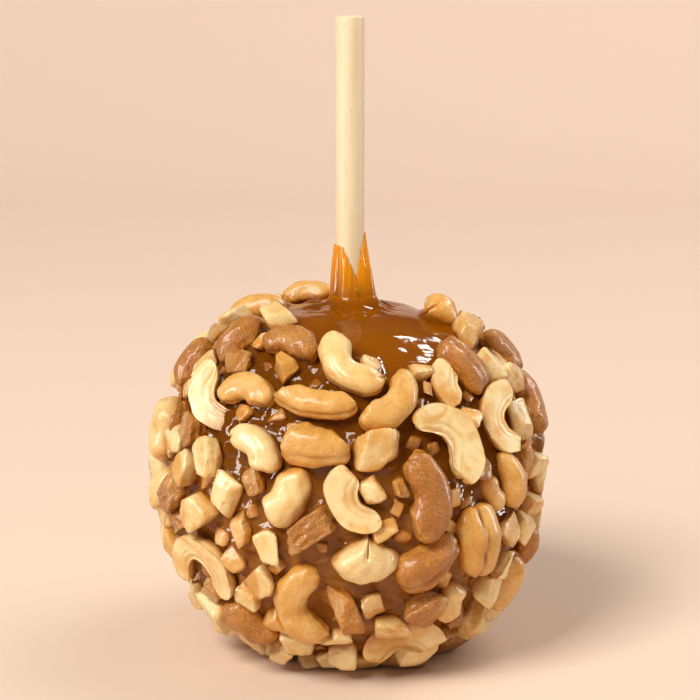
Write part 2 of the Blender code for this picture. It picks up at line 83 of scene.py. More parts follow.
# %% The table of nuts
TONE_NAMES = ["pale", "tan", "roasted"]
Nut = namedtuple("Nut", "kind lon lat opens size curl fat roll front tone")
Seated = namedtuple("Seated", "nut axes middle skin")

# The cashews placed one by one, over the front and the shoulders. In each row:
# kind: whole, half (its round back out), split (its flat face out), broken (blunt ends) or chunk
# longitude and latitude on the apple, and the compass of the hollow side: 0 east, 90 north
# size: the length in millimetres; curl: half the arc of the nut; fat: its half width by its length
# roll: how far the back of the nut is turned outwards
# front: how far its broad side looks to the front and not straight out, from 0 to 1
# tone: the colour of its roast
PLACED = [
    Nut("whole", -2, 44, 40, 19, 80, 0.205, 0, 0, "pale"),
    Nut("whole", -26, 49, 258, 14.5, 80, 0.26, 0, 0.1, "roasted"),
    Nut("whole", -62, 49, 350, 14, 60, 0.30, 60, 0, "roasted"),
    Nut("whole", -36, 36, 270, 15, 80, 0.22, 0, 0.1, "tan"),
    Nut("chunk", -28, 42, 60, 7.5, 0, 0.42, 0, 0, "tan"),
    Nut("split", -51, 29, 35, 17, 85, 0.19, 0, 0.5, "pale"),
    Nut("broken", -12, 28.5, 80, 22.5, 42, 0.15, 20, 0, "tan"),
    Nut("broken", -9, 20, 85, 17, 40, 0.28, 50, 0, "tan"),
    Nut("whole", -29, 18, 238, 15, 60, 0.24, 0, 0, "pale"),
    Nut("half", -17, 7, 155, 18.5, 40, 0.27, 0, 0, "pale"),
    Nut("split", 0, 5, 30, 17, 80, 0.22, 0, 0, "pale"),
    Nut("whole", 19.5, 7, 185, 22, 65, 0.21, 0, 0, "roasted"),
    Nut("whole", 13, 30, 135, 17.5, 75, 0.21, 0, 0, "tan"),
    Nut("split", 31, 20, 215, 20, 85, 0.20, 0, 0.1, "pale"),
    Nut("split", 36, 36, 0, 12.5, 50, 0.25, 0, 0.2, "pale"),
    Nut("whole", 49, 40, 15, 16, 50, 0.23, 80, 0, "roasted"),
    Nut("split", 54, 22, 0, 16, 95, 0.21, 0, 0.4, "pale"),
    Nut("whole", 55, 6, 190, 16, 50, 0.21, 60, 0.2, "tan"),
    Nut("half", 47, 2, 30, 11, 45, 0.25, 0, 0.4, "tan"),
    Nut("whole", 42, -12, 10, 20, 45, 0.29, 80, 0.1, "tan"),
    Nut("whole", 24, -15, 125, 17, 50, 0.28, 75, 0, "roasted"),
    Nut("half", 5, -13, 90, 15, 60, 0.38, 0, 0, "pale"),
    Nut("chunk", -12, -5, 130, 15, 0, 0.29, 0, 0, "roasted"),
    Nut("whole", -14, -27, 5, 20, 90, 0.20, 0, 0.4, "tan"),
    Nut("chunk", -1, -30, 15, 13, 0, 0.25, 0, 0.4, "roasted"),
    Nut("split", 20, -44, 283, 18, 80, 0.22, 0, 0.7, "tan"),
    Nut("chunk", 31, -60, 90, 10, 0, 0.42, 0, 0.5, "roasted"),
    Nut("split", -52, -21, 262, 16.5, 125, 0.19, 0, 0.15, "pale"),
    Nut("whole", -39, -40, 40, 15, 50, 0.29, 75, 0, "roasted"),
    Nut("chunk", -68, -49, 130, 11, 0, 0.38, 0, 0.5, "tan"),
    Nut("split", 58, -43, 30, 14.5, 85, 0.22, 0, 0.6, "pale"),
    Nut("whole", 68, -30, 180, 18, 50, 0.22, 30, 0.2, "tan"),
    Nut("half", 35, -31, 0, 13, 35, 0.25, 0, 0.4, "pale"),
    Nut("whole", 72, -20, 200, 14, 50, 0.24, 60, 0, "roasted"),
    Nut("whole", 70, -57, 100, 13, 55, 0.33, 0, 0.4, "roasted"),
    Nut("half", -84, 13, 0, 17, 45, 0.27, 0, 0.3, "pale"),
    Nut("whole", -83, 35, 0, 14, 60, 0.26, 45, 0, "roasted"),
    Nut("half", -109, 58, 270, 17, 45, 0.22, 0, 0.75, "tan"),
    Nut("whole", -150, 62, 270, 14, 55, 0.22, 0, 0.75, "tan"),
    Nut("half", 86, 61, 180, 12, 40, 0.34, 0, 0.4, "tan"),
    Nut("chunk", 70, 49, 120, 11, 0, 0.38, 0, 0.2, "tan"),
    Nut("whole", 92, 38, 200, 15, 60, 0.26, 20, 0, "roasted"),
    Nut("broken", 84, 22, 180, 15, 60, 0.25, 0, 0.3, "roasted"),
    Nut("half", -78, -4, 320, 14, 60, 0.26, 0, 0.4, "pale"),
    Nut("chunk", 10, 19, 95, 12, 0, 0.38, 0, 0, "tan"),
]


def chip(lon, lat, opens, size, tone, fat=0.4, front=0.0):
    """A chopped piece: its long side lies across the compass that opens gives."""
    return Nut("chunk", lon, lat, opens, size, 0, fat, 0, front, tone)


# The chopped pieces placed one by one, between the cashews of the front.
CHIPS = [
    chip(-57, 58, 60, 9, "pale"),
    chip(8, 45, 90, 5.5, "tan", 0.4),
    chip(23, 39, 80, 7.5, "tan"),
    chip(64, 38, 20, 9, "pale", 0.42),
    chip(66, 19, 10, 9, "tan", 0.36, 0.3),
    chip(74, 5, 0, 8, "pale", 0.42, 0.3),
    chip(8, 10, 20, 9, "pale", 0.38),
    chip(13, 3, 60, 5, "tan"),
    chip(32, 3, 10, 5, "pale", 0.36),
    chip(28, -5, 50, 5, "pale", 0.38),
    chip(36, -19, 0, 7, "pale", 0.36),
    chip(52, -29, 60, 8, "pale", 0.36, 0.3),
    chip(55, -9, 30, 9, "pale", 0.36, 0.2),
    chip(72, -7, 0, 8, "tan", 0.38, 0.3),
    chip(79, -14, 50, 8, "pale"),
    chip(80, 0, 20, 7, "pale"),
    chip(5, -28, 20, 7, "pale", 0.38, 0.3),
    chip(-1, -56, 10, 10, "pale", 0.38, 0.4),
    chip(-28, 8, 30, 7, "roasted", 0.4),
    chip(-36, 3, 160, 12, "pale", 0.33),
    chip(-49, -3, 120, 10, "tan", 0.42, 0.2),
    chip(-34, -7, 20, 9, "tan", 0.36),
    chip(-26, -12, 5, 9, "pale", 0.36),
    chip(-34, -18, 30, 9, "tan", 0.42, 0.2),
    chip(-24, -21, 130, 10, "tan", 0.4),
    chip(-50, -59, 20, 9, "pale", 0.38, 0.3),
    chip(-31, -53, 140, 10, "tan", 0.38, 0.3),
    chip(-20, -62, 0, 9, "tan", 0.4, 0.3),
    chip(-12, -60, 20, 9, "pale", 0.38, 0.3),
    chip(-46, 13, 10, 10, "pale", 0.4),
    chip(-55, 18, 60, 8, "roasted", 0.42),
    chip(-57, 8, 160, 9, "tan", 0.38, 0.2),
    chip(-70, 21, 10, 8, "roasted", 0.38),
    chip(-90, 52, 80, 9, "pale"),
    chip(-94, 45, 60, 8, "roasted"),
    chip(-90, 2, 120, 12, "pale", 0.42, 0.3),
    chip(-79, -11, 60, 8, "tan"),
    chip(-80, -20, 20, 9, "tan", 0.4, 0.2),
    chip(-66, -10, 120, 7, "roasted"),
    chip(-76, -28, 30, 7, "tan"),
    chip(-74, -37, 10, 9, "pale", 0.36, 0.3),
    chip(-4, -42, 90, 6, "pale"),
    chip(75, -47, 30, 11, "pale", 0.4, 0.3),
    chip(85, -42, 60, 8, "roasted"),
    chip(89, 8, 20, 7, "roasted"),
    chip(86, -8, 40, 7, "roasted"),
    chip(12, -60, 90, 9, "tan", 0.36, 0.4),
    chip(43, -57, 60, 8, "tan", 0.38, 0.3),
]

print(len(PLACED), "cashews and", len(CHIPS), "chips are placed by hand")

# %% [markdown]
# ## The coat as a formula
# The dipped apple is broader in the shoulders than a ball. In section it is a superellipse,
# |x/a|^n + |z/b|^n = 1, and its radius follows from that at any latitude. Helpers turn points into
# longitude and latitude, turn these into directions, and spread places evenly over the apple.

# %% The coated apple's radius
LOWEST_LAT = -61  # the nuts of the filled parts stop short of the foot
CROWN_LAT = 57  # and near this latitude under the bare dome
CROWN_LEAN = 6  # lower by this much towards the dip in front
FRONT_DIP = (25, 30)  # the dip in front: its longitude and half width, in degrees
FRONT_DIP_DEEP = 8
BACK_DIP = (160, 55)
BACK_DIP_DEEP = 20
# Pockets among the nuts of the front where the caramel shows: longitude, latitude and radius in
# degrees.
POCKETS = [(-21, 44, 6), (-31, 6, 6), (12, -24, 8), (22, 24, 4)]
GOLDEN_ANGLE = 137.50776


def hill(away, wide):
    """A smooth hill, exp(-(d / wide)^2), at a distance d from its top."""
    return np.exp(-((away / wide) ** 2))


def bell(lon, place, wide):
    """A hill round a longitude, with the distance in degrees the short way round."""
    return hill((lon - place + 180) % 360 - 180, wide)


def crown(lon):
    """The latitude above which the caramel is bare: it dips in front, and more behind."""
    dips = FRONT_DIP_DEEP * bell(lon, *FRONT_DIP) + BACK_DIP_DEEP * bell(lon, *BACK_DIP)
    return CROWN_LAT - CROWN_LEAN * np.cos(np.radians(lon - FRONT_DIP[0])) - dips


def bare(lon, lat):
    """Whether a place is kept free of nuts: above the crown, near the foot or in a pocket."""
    shrink = math.cos(math.radians(lat))
    pocket = any(math.hypot((lon - at) * shrink, lat - high) < wide for at, high, wide in POCKETS)
    return pocket or not LOWEST_LAT < lat < crown(lon)


def coat(lat):
    """The coated apple's radius at a latitude: its section is |x/a|^n + |z/b|^n = 1, with one b
    for the dome and one for the bowl."""
    wide = np.cos(np.radians(lat)) / WIDE_R
    tall = np.sin(np.radians(lat)) / np.where(lat > 0, TOP_R, LOW_R)
    return (np.abs(wide) ** SHOULDER + np.abs(tall) ** SHOULDER) ** (-1 / SHOULDER)


def ball_place(points):
    """The longitude and latitude of points seen from the middle of the apple, and how far they
    are from it."""
    x, y, z = (points - (0, 0, LOW_R)).T
    flat = np.hypot(x, y)
    return np.degrees(np.arctan2(x, -y)), np.degrees(np.arctan2(z, flat)), np.hypot(flat, z)


def ball_axes(lon, lat):
    """The east, north and outward directions at a place on the apple, as rows."""
    lon, lat = np.radians(lon), np.radians(lat)
    east = (np.cos(lon), np.sin(lon), 0)
    north = (-np.sin(lat) * np.sin(lon), np.sin(lat) * np.cos(lon), np.cos(lat))
    out = (np.cos(lat) * np.sin(lon), -np.cos(lat) * np.cos(lon), np.sin(lat))
    return np.array([east, north, out])


def lattice(count):
    """Places spread evenly over the ball by the golden angle, from the top down."""
    step = np.arange(count)
    lat = np.degrees(np.arcsin(1 - (2 * step + 1) / count))
    lon = (step * GOLDEN_ANGLE) % 360 - 180
    return np.column_stack([lon, lat])


print("radius at the middle and at 60 degrees:", coat(0), coat(60))

# %% [markdown]
# ## The shape of a nut
# A cashew is a bent spindle: a section that tapers to its ends is carried along an arc. A chopped
# piece is a stretched ball with planes cut off it. Both are functions of a direction, so the same
# formula serves for measuring, for keeping nuts apart and, further on, for the fine surface.

# %% Cashew and chip as formulas
HALF_DEPTH = 1.25  # how deep a half nut is, by its half width
TAPER = 3.5  # how full the ends of a cashew are
BLUNT_TAPER = 12  # and those of a broken one
LOPSIDED = 0.12  # one end is thicker by this share, and the other thinner
CHIP_SKEW = 0.22  # how far the planes of a chip lean
CHIP_REACH = (0.78, 0.98)  # where they cut the ball, by its radius
CHIP_FLAT = 0.85  # how flat a chip is, by its width
SOFT_EDGE = 12  # the power that rounds a chip's edges


def spine(nut):
    """A cashew's arc: half its angle, the radius of its middle line, its half width, and how far
    the arc's centre lies from the middle of the nut."""
    arc = math.radians(nut.curl)
    width = nut.fat * nut.size * MM
    radius = (nut.size * MM / 2 - 0.4 * width) / math.sin(min(arc, math.pi / 2))
    return arc, radius, width, (radius * (1 + math.cos(arc)) + 0.5 * width) / 2


def middle_line(nut, x):
    """The arc down the middle of a cashew, where x runs from -1 to 1 along it."""
    arc, radius, _, centre = spine(nut)
    return np.stack([centre - radius * np.cos(arc * x), radius * np.sin(arc * x), 0 * x], axis=-1)


def off_line(nut, local):
    """Where along a cashew some points lie, and their way out from its middle line."""
    arc, _, _, centre = spine(nut)
    x = np.clip(np.arctan2(local[:, 1], centre - local[:, 0]) / arc, -1, 1)
    return x, local - middle_line(nut, x)


def section(nut, x):
    """A cashew's half width along it: it tapers to its ends as (1 - |x|^n)^(1/2), with n large
    where the nut is broken off."""
    power = BLUNT_TAPER if nut.kind == "broken" else TAPER
    taper = np.sqrt(np.clip(1 - np.abs(x) ** power, 0, 1))
    return nut.fat * nut.size * MM * (1 + LOPSIDED * x) * taper


def cashew(nut, x, psi):
    """A bent spindle, hollow side to +X and chord along Y: an arc that carries the section."""
    arc, radius, _, middle = spine(nut)
    reach = radius + section(nut, x) * np.cos(psi)
    height = section(nut, x) * np.sin(psi)
    if nut.kind == "half":
        height = np.maximum(HALF_DEPTH * height, 0)
    if nut.kind == "split":
        height = np.minimum(HALF_DEPTH * height, 0)
    return np.stack([middle - reach * np.cos(arc * x), reach * np.sin(arc * x), height], axis=-1)


def chunk(nut, facing, crisp=SOFT_EDGE):
    """A chopped piece: planes cut round a stretched ball. In each direction the surface is where
    the soft maximum of the planes' distances reaches one; its edges get sharper with crisp."""
    rng = np.random.default_rng(int(nut.size * 1000 + nut.opens))
    planes = np.vstack([np.eye(3), -np.eye(3), rng.normal(size=(2, 3))])
    planes += rng.normal(0, CHIP_SKEW, planes.shape)
    planes /= np.linalg.norm(planes, axis=1)[:, None]
    reach = rng.uniform(*CHIP_REACH, len(planes))
    cut = np.clip(facing @ planes.T / reach, 0, None)
    radius = np.sum(cut**crisp, axis=-1) ** (-1 / crisp)
    half = np.array([nut.fat, 0.5, CHIP_FLAT * nut.fat]) * nut.size * MM
    return facing * radius[..., None] * half


def shape(nut, facing):
    """A nut's surface in its own frame, from directions on the unit ball, poles on Z."""
    if nut.kind == "chunk":
        return chunk(nut, facing)
    return cashew(nut, facing[..., 2], np.arctan2(facing[..., 1], facing[..., 0]))


print("a broken nut's half width at its end and its middle:", section(PLACED[6], np.array([0.99, 0])))

# %% [markdown]
# ## Seating a nut
# Each nut is turned by its compass and roll, sunk a little into the caramel, and kept under the
# outline of the crust. The same measures tell how deep two nuts go into each other.

# %% Seats and distances
FRONT = np.array([0, -0.98, 0.2])  # where a nut with front = 1 shows its broad side


def nut_axes(nut):
    """The nut frame in the world: its hollow side, its chord and its broad side, as rows."""
    out = (1 - nut.front) * ball_axes(nut.lon, nut.lat)[2] + nut.front * FRONT
    out /= np.linalg.norm(out)
    east = np.cross((0, 0, 1), out)
    east /= np.linalg.norm(east)
    opens, roll = math.radians(nut.opens), math.radians(nut.roll)
    hollow = math.cos(opens) * east + math.sin(opens) * np.cross(out, east)
    chord = np.cross(out, hollow)
    back_out = math.cos(roll) * hollow - math.sin(roll) * out
    return np.array([back_out, chord, math.sin(roll) * hollow + math.cos(roll) * out])


def probe(rings=9, sides=12):
    """Directions over the unit ball, for measuring a nut."""
    up = np.cos(np.linspace(0, math.pi, rings))[:, None]
    turn = np.linspace(0, 2 * math.pi, sides, endpoint=False)
    flat = np.sqrt(1 - up**2)
    return np.stack([flat * np.cos(turn), flat * np.sin(turn), up + 0 * turn], axis=-1)


def seat(nut):
    """The nut's axes and its middle: sunk in the caramel, but no prouder than the crust."""
    axes, out = nut_axes(nut), ball_axes(nut.lon, nut.lat)[2]
    lift = shape(nut, probe()) @ axes @ out
    radius = coat(nut.lat) + min(-SINK - lift.min(), CRUST - lift.max())
    return axes, radius * out + (0, 0, LOW_R)


def depth_in(nut, axes, middle, points):
    """How deep the deepest of some points lies in a nut (less than 0 outside it), and the way
    out from there."""
    local = (points - middle) @ axes.T
    if nut.kind == "chunk":
        far = np.linalg.norm(local, axis=-1)
        way = local / far[:, None]
        depth = np.linalg.norm(chunk(nut, way), axis=-1) - far
    else:
        x, way = off_line(nut, local)
        if nut.kind in ("half", "split"):
            way = way / (1, 1, HALF_DEPTH)
        far = np.linalg.norm(way, axis=-1)
        way /= far[:, None]
        depth = section(nut, x) - far
        if nut.kind == "half":
            depth = np.minimum(depth, local[:, 2])
        if nut.kind == "split":
            depth = np.minimum(depth, -local[:, 2])
    deepest = np.argmax(depth)
    return depth[deepest], way[deepest] @ axes


def clash(a, b):
    """How far two seated nuts go into each other, with the gap between them counted in, and the
    direction that frees the first."""
    apart = np.linalg.norm(a.middle - b.middle)
    if apart > (a.nut.size + b.nut.size) * MM / 2 + 2 * GAP:
        return 0, np.zeros(3)
    ahead, push = depth_in(b.nut, b.axes, b.middle, a.skin)
    behind, back = depth_in(a.nut, a.axes, a.middle, b.skin)
    if behind > ahead:
        ahead, push = behind, -back
    return max(ahead + GAP, 0), push


def seated(nut):
    """A nut with its seat and points on its surface, ready for measuring."""
    axes, middle = seat(nut)
    return Seated(nut, axes, middle, (middle + shape(nut, probe()) @ axes).reshape(-1, 3))


def nudged(nut, push):
    """The nut moved over the ball by a world vector, as new degrees."""
    east, north, _ = ball_axes(nut.lon, nut.lat)
    lat = nut.lat + math.degrees(push @ north / WIDE_R)
    lon = nut.lon + math.degrees(push @ east / WIDE_R) / math.cos(math.radians(lat))
    return nut._replace(lon=lon, lat=lat)


print("the first two nuts go into each other by", clash(seated(PLACED[0]), seated(PLACED[1]))[0])

# %% [markdown]
# ## Freeing the nuts of each other
# Nuts placed one by one overlap a little. Pushing them apart over the apple in small rounds settles
# them, as rolling the apple in a tray does.

# %% Pushing nuts apart
SPREAD_ROUNDS = 40
PUSH = 0.3  # the share of an overlap that each piece gives way by in one round
TIGHT = 0.0003  # pieces that go deeper than this into each other shrink
SHRINK = 0.98  # by how much in one round
NUT_LEAST = 0.93  # how small a nut may become to fit, by its own size
CHIP_LEAST = 0.66  # and a chip


def spread(nuts, chips):
    """Frees overlapping nuts of each other: in each round they move apart over the ball, a chip
    more readily than a nut, and those that overlap shrink a little."""
    count = len(nuts)
    pieces = list(nuts) + list(chips)
    least = [piece.size * (NUT_LEAST if k < count else CHIP_LEAST) for k, piece in enumerate(pieces)]
    for _ in range(SPREAD_ROUNDS):
        seats = [seated(piece) for piece in pieces]
        pushes = np.zeros((len(pieces), 3))
        crowd = np.zeros(len(pieces))
        for i in range(len(pieces)):
            for j in range(i):
                depth, away = clash(seats[i], seats[j])
                if depth == 0:
                    continue
                firm = j < count <= i  # a nut stays where it is when a chip meets it
                pushes[i] += (2 if firm else 1) * PUSH * depth * away
                crowd[i] = max(crowd[i], depth)
                if not firm:
                    pushes[j] -= PUSH * depth * away
                    crowd[j] = max(crowd[j], depth)
        for k, piece in enumerate(pieces):
            share = SHRINK if crowd[k] > TIGHT else 1
            pieces[k] = nudged(piece, pushes[k])._replace(size=max(least[k], share * piece.size))
    return pieces[:count], clear_of(pieces[:count], pieces[count:])


def clear_of(nuts, chips):
    """The chips that overlap no nut and no chip before them."""
    kept = [seated(nut) for nut in nuts]
    for piece in chips:
        own = seated(piece)
        if max(clash(own, other)[0] for other in kept) < GAP:
            kept.append(own)
    return [one.nut for one in kept[len(nuts):]]


print("nuts are pushed apart in", SPREAD_ROUNDS, "rounds")

# %% [markdown]
# ## Filling the rest
# Where the tables end, places come from an even lattice in a seeded order: for large cashews first,
# and then for chopped pieces in the room that is left. A piece is kept where it stays clear of all
# that lies there. The same seeds always give the same crust.

# %% The whole crust
SEPARATE_NUTS = 58  # the large nuts that have a solid of their own
FAR_NUTS = 26  # the large nuts that the table leaves out
FAR_PLACES = 500
FAR_SIZE = (15, 21)
FAR_CURL = (50, 85)
FAR_FAT = (0.20, 0.24)
FAR_ROLLS = [0, 0, 15, 70]
# The chopped pieces: length in millimetres, the places tried and the most that are kept.
CHUNKS = [(10.5, 700, 14), (8.5, 900, 7), (7, 1100, 6)]
CHIP_SPREAD = (0.85, 1.15)  # the least and the most of a chip's size
CHIP_FAT = (0.34, 0.46)
LARGEST = 26  # no two nuts can touch whose middles are this many millimetres apart


def fill(nuts, places, make, most, tuck=0):
    """Adds make(lon, lat) at each place in turn where it stays clear of the nuts already there, or
    goes no deeper under them than tuck."""
    taken = [seated(nut) for nut in nuts]
    middles = [one.middle for one in taken]
    for lon, lat in places:
        if len(taken) == len(nuts) + most:
            break
        if bare(lon, lat):
            continue
        own = seated(make(lon, lat))
        apart = np.linalg.norm(np.array(middles) - own.middle, axis=1)
        near = np.flatnonzero(apart < LARGEST * MM)
        if all(clash(own, taken[k])[0] <= tuck for k in near):
            taken.append(own)
            middles.append(own.middle)
    return [one.nut for one in taken[len(nuts):]]


def far_cashew(rng):
    """A maker of large nuts of mixed kinds for the side that no row of PLACED covers."""

    def make(lon, lat):
        kind = rng.choice(["whole", "whole", "half", "split", "broken"])
        sizes = rng.integers(360), rng.uniform(*FAR_SIZE), rng.uniform(*FAR_CURL), rng.uniform(*FAR_FAT)
        roll = rng.choice(FAR_ROLLS) if kind == "whole" else 0
        return Nut(kind, lon, lat, *sizes, roll, 0, rng.choice(TONE_NAMES))

    return make


def chopped(rng, size):
    """A maker of chopped pieces of about one size."""

    def make(lon, lat):
        tone, fat = rng.choice(TONE_NAMES), rng.uniform(*CHIP_FAT)
        return chip(lon, lat, rng.integers(360), size * rng.uniform(*CHIP_SPREAD), tone, fat)

    return make


def crust():
    """Every nut: the separate ones first, then those that are joined to the caramel."""
    rng = np.random.default_rng(11)
    large, small = spread(PLACED, CHIPS)
    far = fill(large + small, rng.permutation(lattice(FAR_PLACES)), far_cashew(rng), FAR_NUTS)
    large += far[: SEPARATE_NUTS - len(large)]
    small += far[SEPARATE_NUTS - len(PLACED):]
    for size, tries, most in CHUNKS:
        places = rng.permutation(lattice(tries))
        small += fill(large + small, places, chopped(rng, size), most)
    return large, small


large, small = crust()
print(len(large), "cashews with a solid of their own and", len(small), "joined pieces")

# %% [markdown]
# ## The rest of the chopped nuts
# The solids stop at the larger pieces. The real crust has smaller ones in every gap, down to
# crumbs, so the same filling goes on with smaller and smaller pieces.

# %% Smaller pieces and crumbs
# Each row: length in millimetres, the places tried, the most that are kept, and how deep a piece
# may reach under its neighbours, in millimetres.
COARSE = [(9, 2500, 60, 0.8), (7.5, 3000, 90, 0.7)]
FINE = [(5.5, 5000, 100, 0.5), (4, 7000, 70, 0.4)]
CRUMBS = [(2.4, 6000, 60, 0.3)]
fine_rng = np.random.default_rng(29)


def filled(sizes):
    """More chopped pieces of these sizes, tucked in among all that are there."""
    added = []
    for size, tries, most, tuck in sizes:
        places = fine_rng.permutation(lattice(tries))
        added += fill(large + small + added, places, chopped(fine_rng, size), most, tuck * MM)
    return added


small += filled(COARSE)
fine = filled(FINE)
small += fine
crumbs = filled(CRUMBS)
print(len(small), "chopped pieces,", len(fine), "of them fine, and", len(crumbs), "crumbs")

# %% [markdown]
# ## Meshes from arrays
# Each nut becomes a grid: rows of points from end to end, columns round it, and one point at each end,
# so that the surface is closed. All the nuts of a kind are joined into one mesh, and numbers that the
# finish needs are stored on its points as attributes: how roasted a nut is, where it was cut, where
# painted shade darkens its seam and grooves, and how far a point stands over the caramel.

# %% Grids and meshes
LOOKS = ("tone", "cut", "seam", "rim", "rise", "salt")


def grid_directions(rows, sides):
    """Directions over the unit ball: rings of constant x = cos(turn), closer together towards the
    two ends, with the ends themselves as single first and last points."""
    x = -np.cos(np.linspace(0, math.pi, rows + 2)[1:-1])[:, None]
    psi = np.linspace(0, 2 * math.pi, sides, endpoint=False)[None, :]
    flat = np.sqrt(1 - x**2)
    rings = np.stack([flat * np.cos(psi), flat * np.sin(psi), x + 0 * psi], axis=-1)
    return np.vstack([[(0, 0, -1)], rings.reshape(-1, 3), [(0, 0, 1)]])


def grid_faces(rows, sides):
    """The faces of such a grid: four-sided between the rings and three-sided at the ends."""
    row, side = np.meshgrid(np.arange(rows - 1), np.arange(sides), indexing="ij")
    here = 1 + row * sides + side
    beside = 1 + row * sides + (side + 1) % sides
    quads = np.stack([here, beside, beside + sides, here + sides], axis=-1).reshape(-1, 4)
    side = np.arange(sides)
    after = (side + 1) % sides
    last = 1 + (rows - 1) * sides
    start = np.stack([0 * side, 1 + after, 1 + side], axis=-1)
    end = np.stack([last + side, last + after, 0 * side + last + sides], axis=-1)
    return quads, np.vstack([start, end])


def mesh_object(name, points, quads, tris, looks=None):
    """An object with a smooth mesh from whole arrays of points, faces and point attributes."""
    corners = np.concatenate([quads.ravel(), tris.ravel()]).astype(np.int32)
    sizes = np.concatenate([np.full(len(quads), 4), np.full(len(tris), 3)])
    mesh = bpy.data.meshes.new(name)
    mesh.vertices.add(len(points))
    mesh.vertices.foreach_set("co", points.astype(np.float32).ravel())
    mesh.loops.add(len(corners))
    mesh.loops.foreach_set("vertex_index", corners)
    mesh.polygons.add(len(sizes))
    mesh.polygons.foreach_set("loop_start", (np.cumsum(sizes) - sizes).astype(np.int32))
    for key, values in (looks or {}).items():
        layer = mesh.attributes.new(key, "FLOAT", "POINT")
        layer.data.foreach_set("value", values.astype(np.float32))
    mesh.update(calc_edges=True)
    mesh.validate()
    mesh.shade_smooth()
    obj = bpy.data.objects.new(name, mesh)
    bpy.context.scene.collection.objects.link(obj)
    return obj


WAVE_PEAK = 1.3  # the sum's largest values, by its spread


def waves(points, scale, seed, layers=5):
    """Smooth unevenness between about -1 and 1: a sum of sine waves in random directions, of
    about the given wavelength in metres."""
    rng = np.random.default_rng(seed)
    ways = rng.normal(size=(layers, 3))
    steepness = 2 * math.pi / scale * rng.uniform(0.7, 1.5, layers)
    ways *= (steepness / np.linalg.norm(ways, axis=1))[:, None]
    phases = rng.uniform(0, 2 * math.pi, layers)
    return np.sin(points @ ways.T + phases).sum(axis=-1) / math.sqrt(layers) / WAVE_PEAK


def ramp(value, low, high):
    """0 below low and 1 above high, with a smooth step between them."""
    share = np.clip((value - low) / (high - low), 0, 1)
    return share * share * (3 - 2 * share)


print("helpers ready")

# %% [markdown]
# ## Broken corners
# Stirring and chopping break corners off cashews. Carving them with boolean modifiers would be
# slow and would tangle the grid. A break is a plane instead: points past it are pushed back on to
# it, which leaves a flat face with crisp edges, as on the real nuts.

# %% Breaks
BREAKS = {"whole": 2, "half": 2, "split": 2, "broken": 3, "chunk": 3}
# How much breaks off at once, by the length: the least and the most.
BREAK_SHARE = {
    "whole": (0.01, 0.07),
    "half": (0.01, 0.05),
    "split": (0.01, 0.06),
    "broken": (0.05, 0.11),
    "chunk": (0.10, 0.24),
}
BREAK_LEAN = 0.28  # how far the planes at a cashew's ends lean
BREAK_RELIEF = [(0.00020, 0.0045), (0.00006, 0.0014)]  # its waves: height and length, in metres
CUT_EDGE = 0.0002  # over what depth a break's colour sets in
RIM_EDGE = 0.00035  # how broad its toasted edge is


def nut_seed(nut):
    """A whole number that belongs to one nut."""
    return int(nut.size * 7919 + nut.opens * 31 + nut.curl * 7) % 1000003


def broken_off(points, cut, rim, plane, depth, grain):
    """Pushes the points past a plane back on to it; cut becomes 1 there and rim 1 at its edge. The
    plane's direction comes with it, depth says how much is broken off, and grain roughens it."""
    along = points @ plane
    past = along - (along.max() - depth) - grain
    points = points - plane * np.maximum(past, 0)[:, None]
    cut = np.maximum(cut, ramp(past, 0, CUT_EDGE))
    rim = np.maximum(rim, hill(past, RIM_EDGE))
    return points, cut, rim


def breaks(nut, points, cut, rim, seed):
    """The nut with its corners broken off: at the ends for a cashew, anywhere for a chip."""
    rng = np.random.default_rng(seed)
    for k in range(BREAKS[nut.kind]):
        plane = rng.normal(size=3)
        if nut.kind != "chunk":
            arc = math.radians(min(nut.curl, 90))
            plane = BREAK_LEAN * plane + (math.sin(arc), (-1) ** k * math.cos(arc), 0)
        plane /= np.linalg.norm(plane)
        share = rng.uniform(*BREAK_SHARE[nut.kind])
        grain = 0
        for step, (high, length) in enumerate(BREAK_RELIEF):
            grain = grain + high * waves(points, length, seed + k + 9 * step)
        points, cut, rim = broken_off(points, cut, rim, plane, share * nut.size * MM, grain)
    return points, cut, rim


print("breaks of a whole nut:", BREAKS["whole"], "and of a chip:", BREAKS["chunk"])

# %% [markdown]
# ## The skin of a cashew
# The plain spindle is too even. A real kernel is a little boxy in section, since its broad sides
# are flat, its ends are blunt, and roasting wrinkles it along its length. Each of these is a shift
# along the section's own direction, worked out for all points at once.

# %% Swelling and wrinkles
BOX_POWER = 2.6  # how boxy the section is: 2 would be round
BOXY = 0.8
BLUNT = (4, 9)  # the powers that round the two ends, least and most
FULLER = 0.8  # how much of that bluntness shows
SLOW_SWELL = (0.08, 0.009)  # slow unevenness: its height by the half width, and its length
FINE_SWELL = (0.035, 0.0038)
WRINKLED = {"pale": 0.00005, "tan": 0.00005, "roasted": 0.00012}  # how high the wrinkles are
WRINKLE_LENGTH = 0.0035


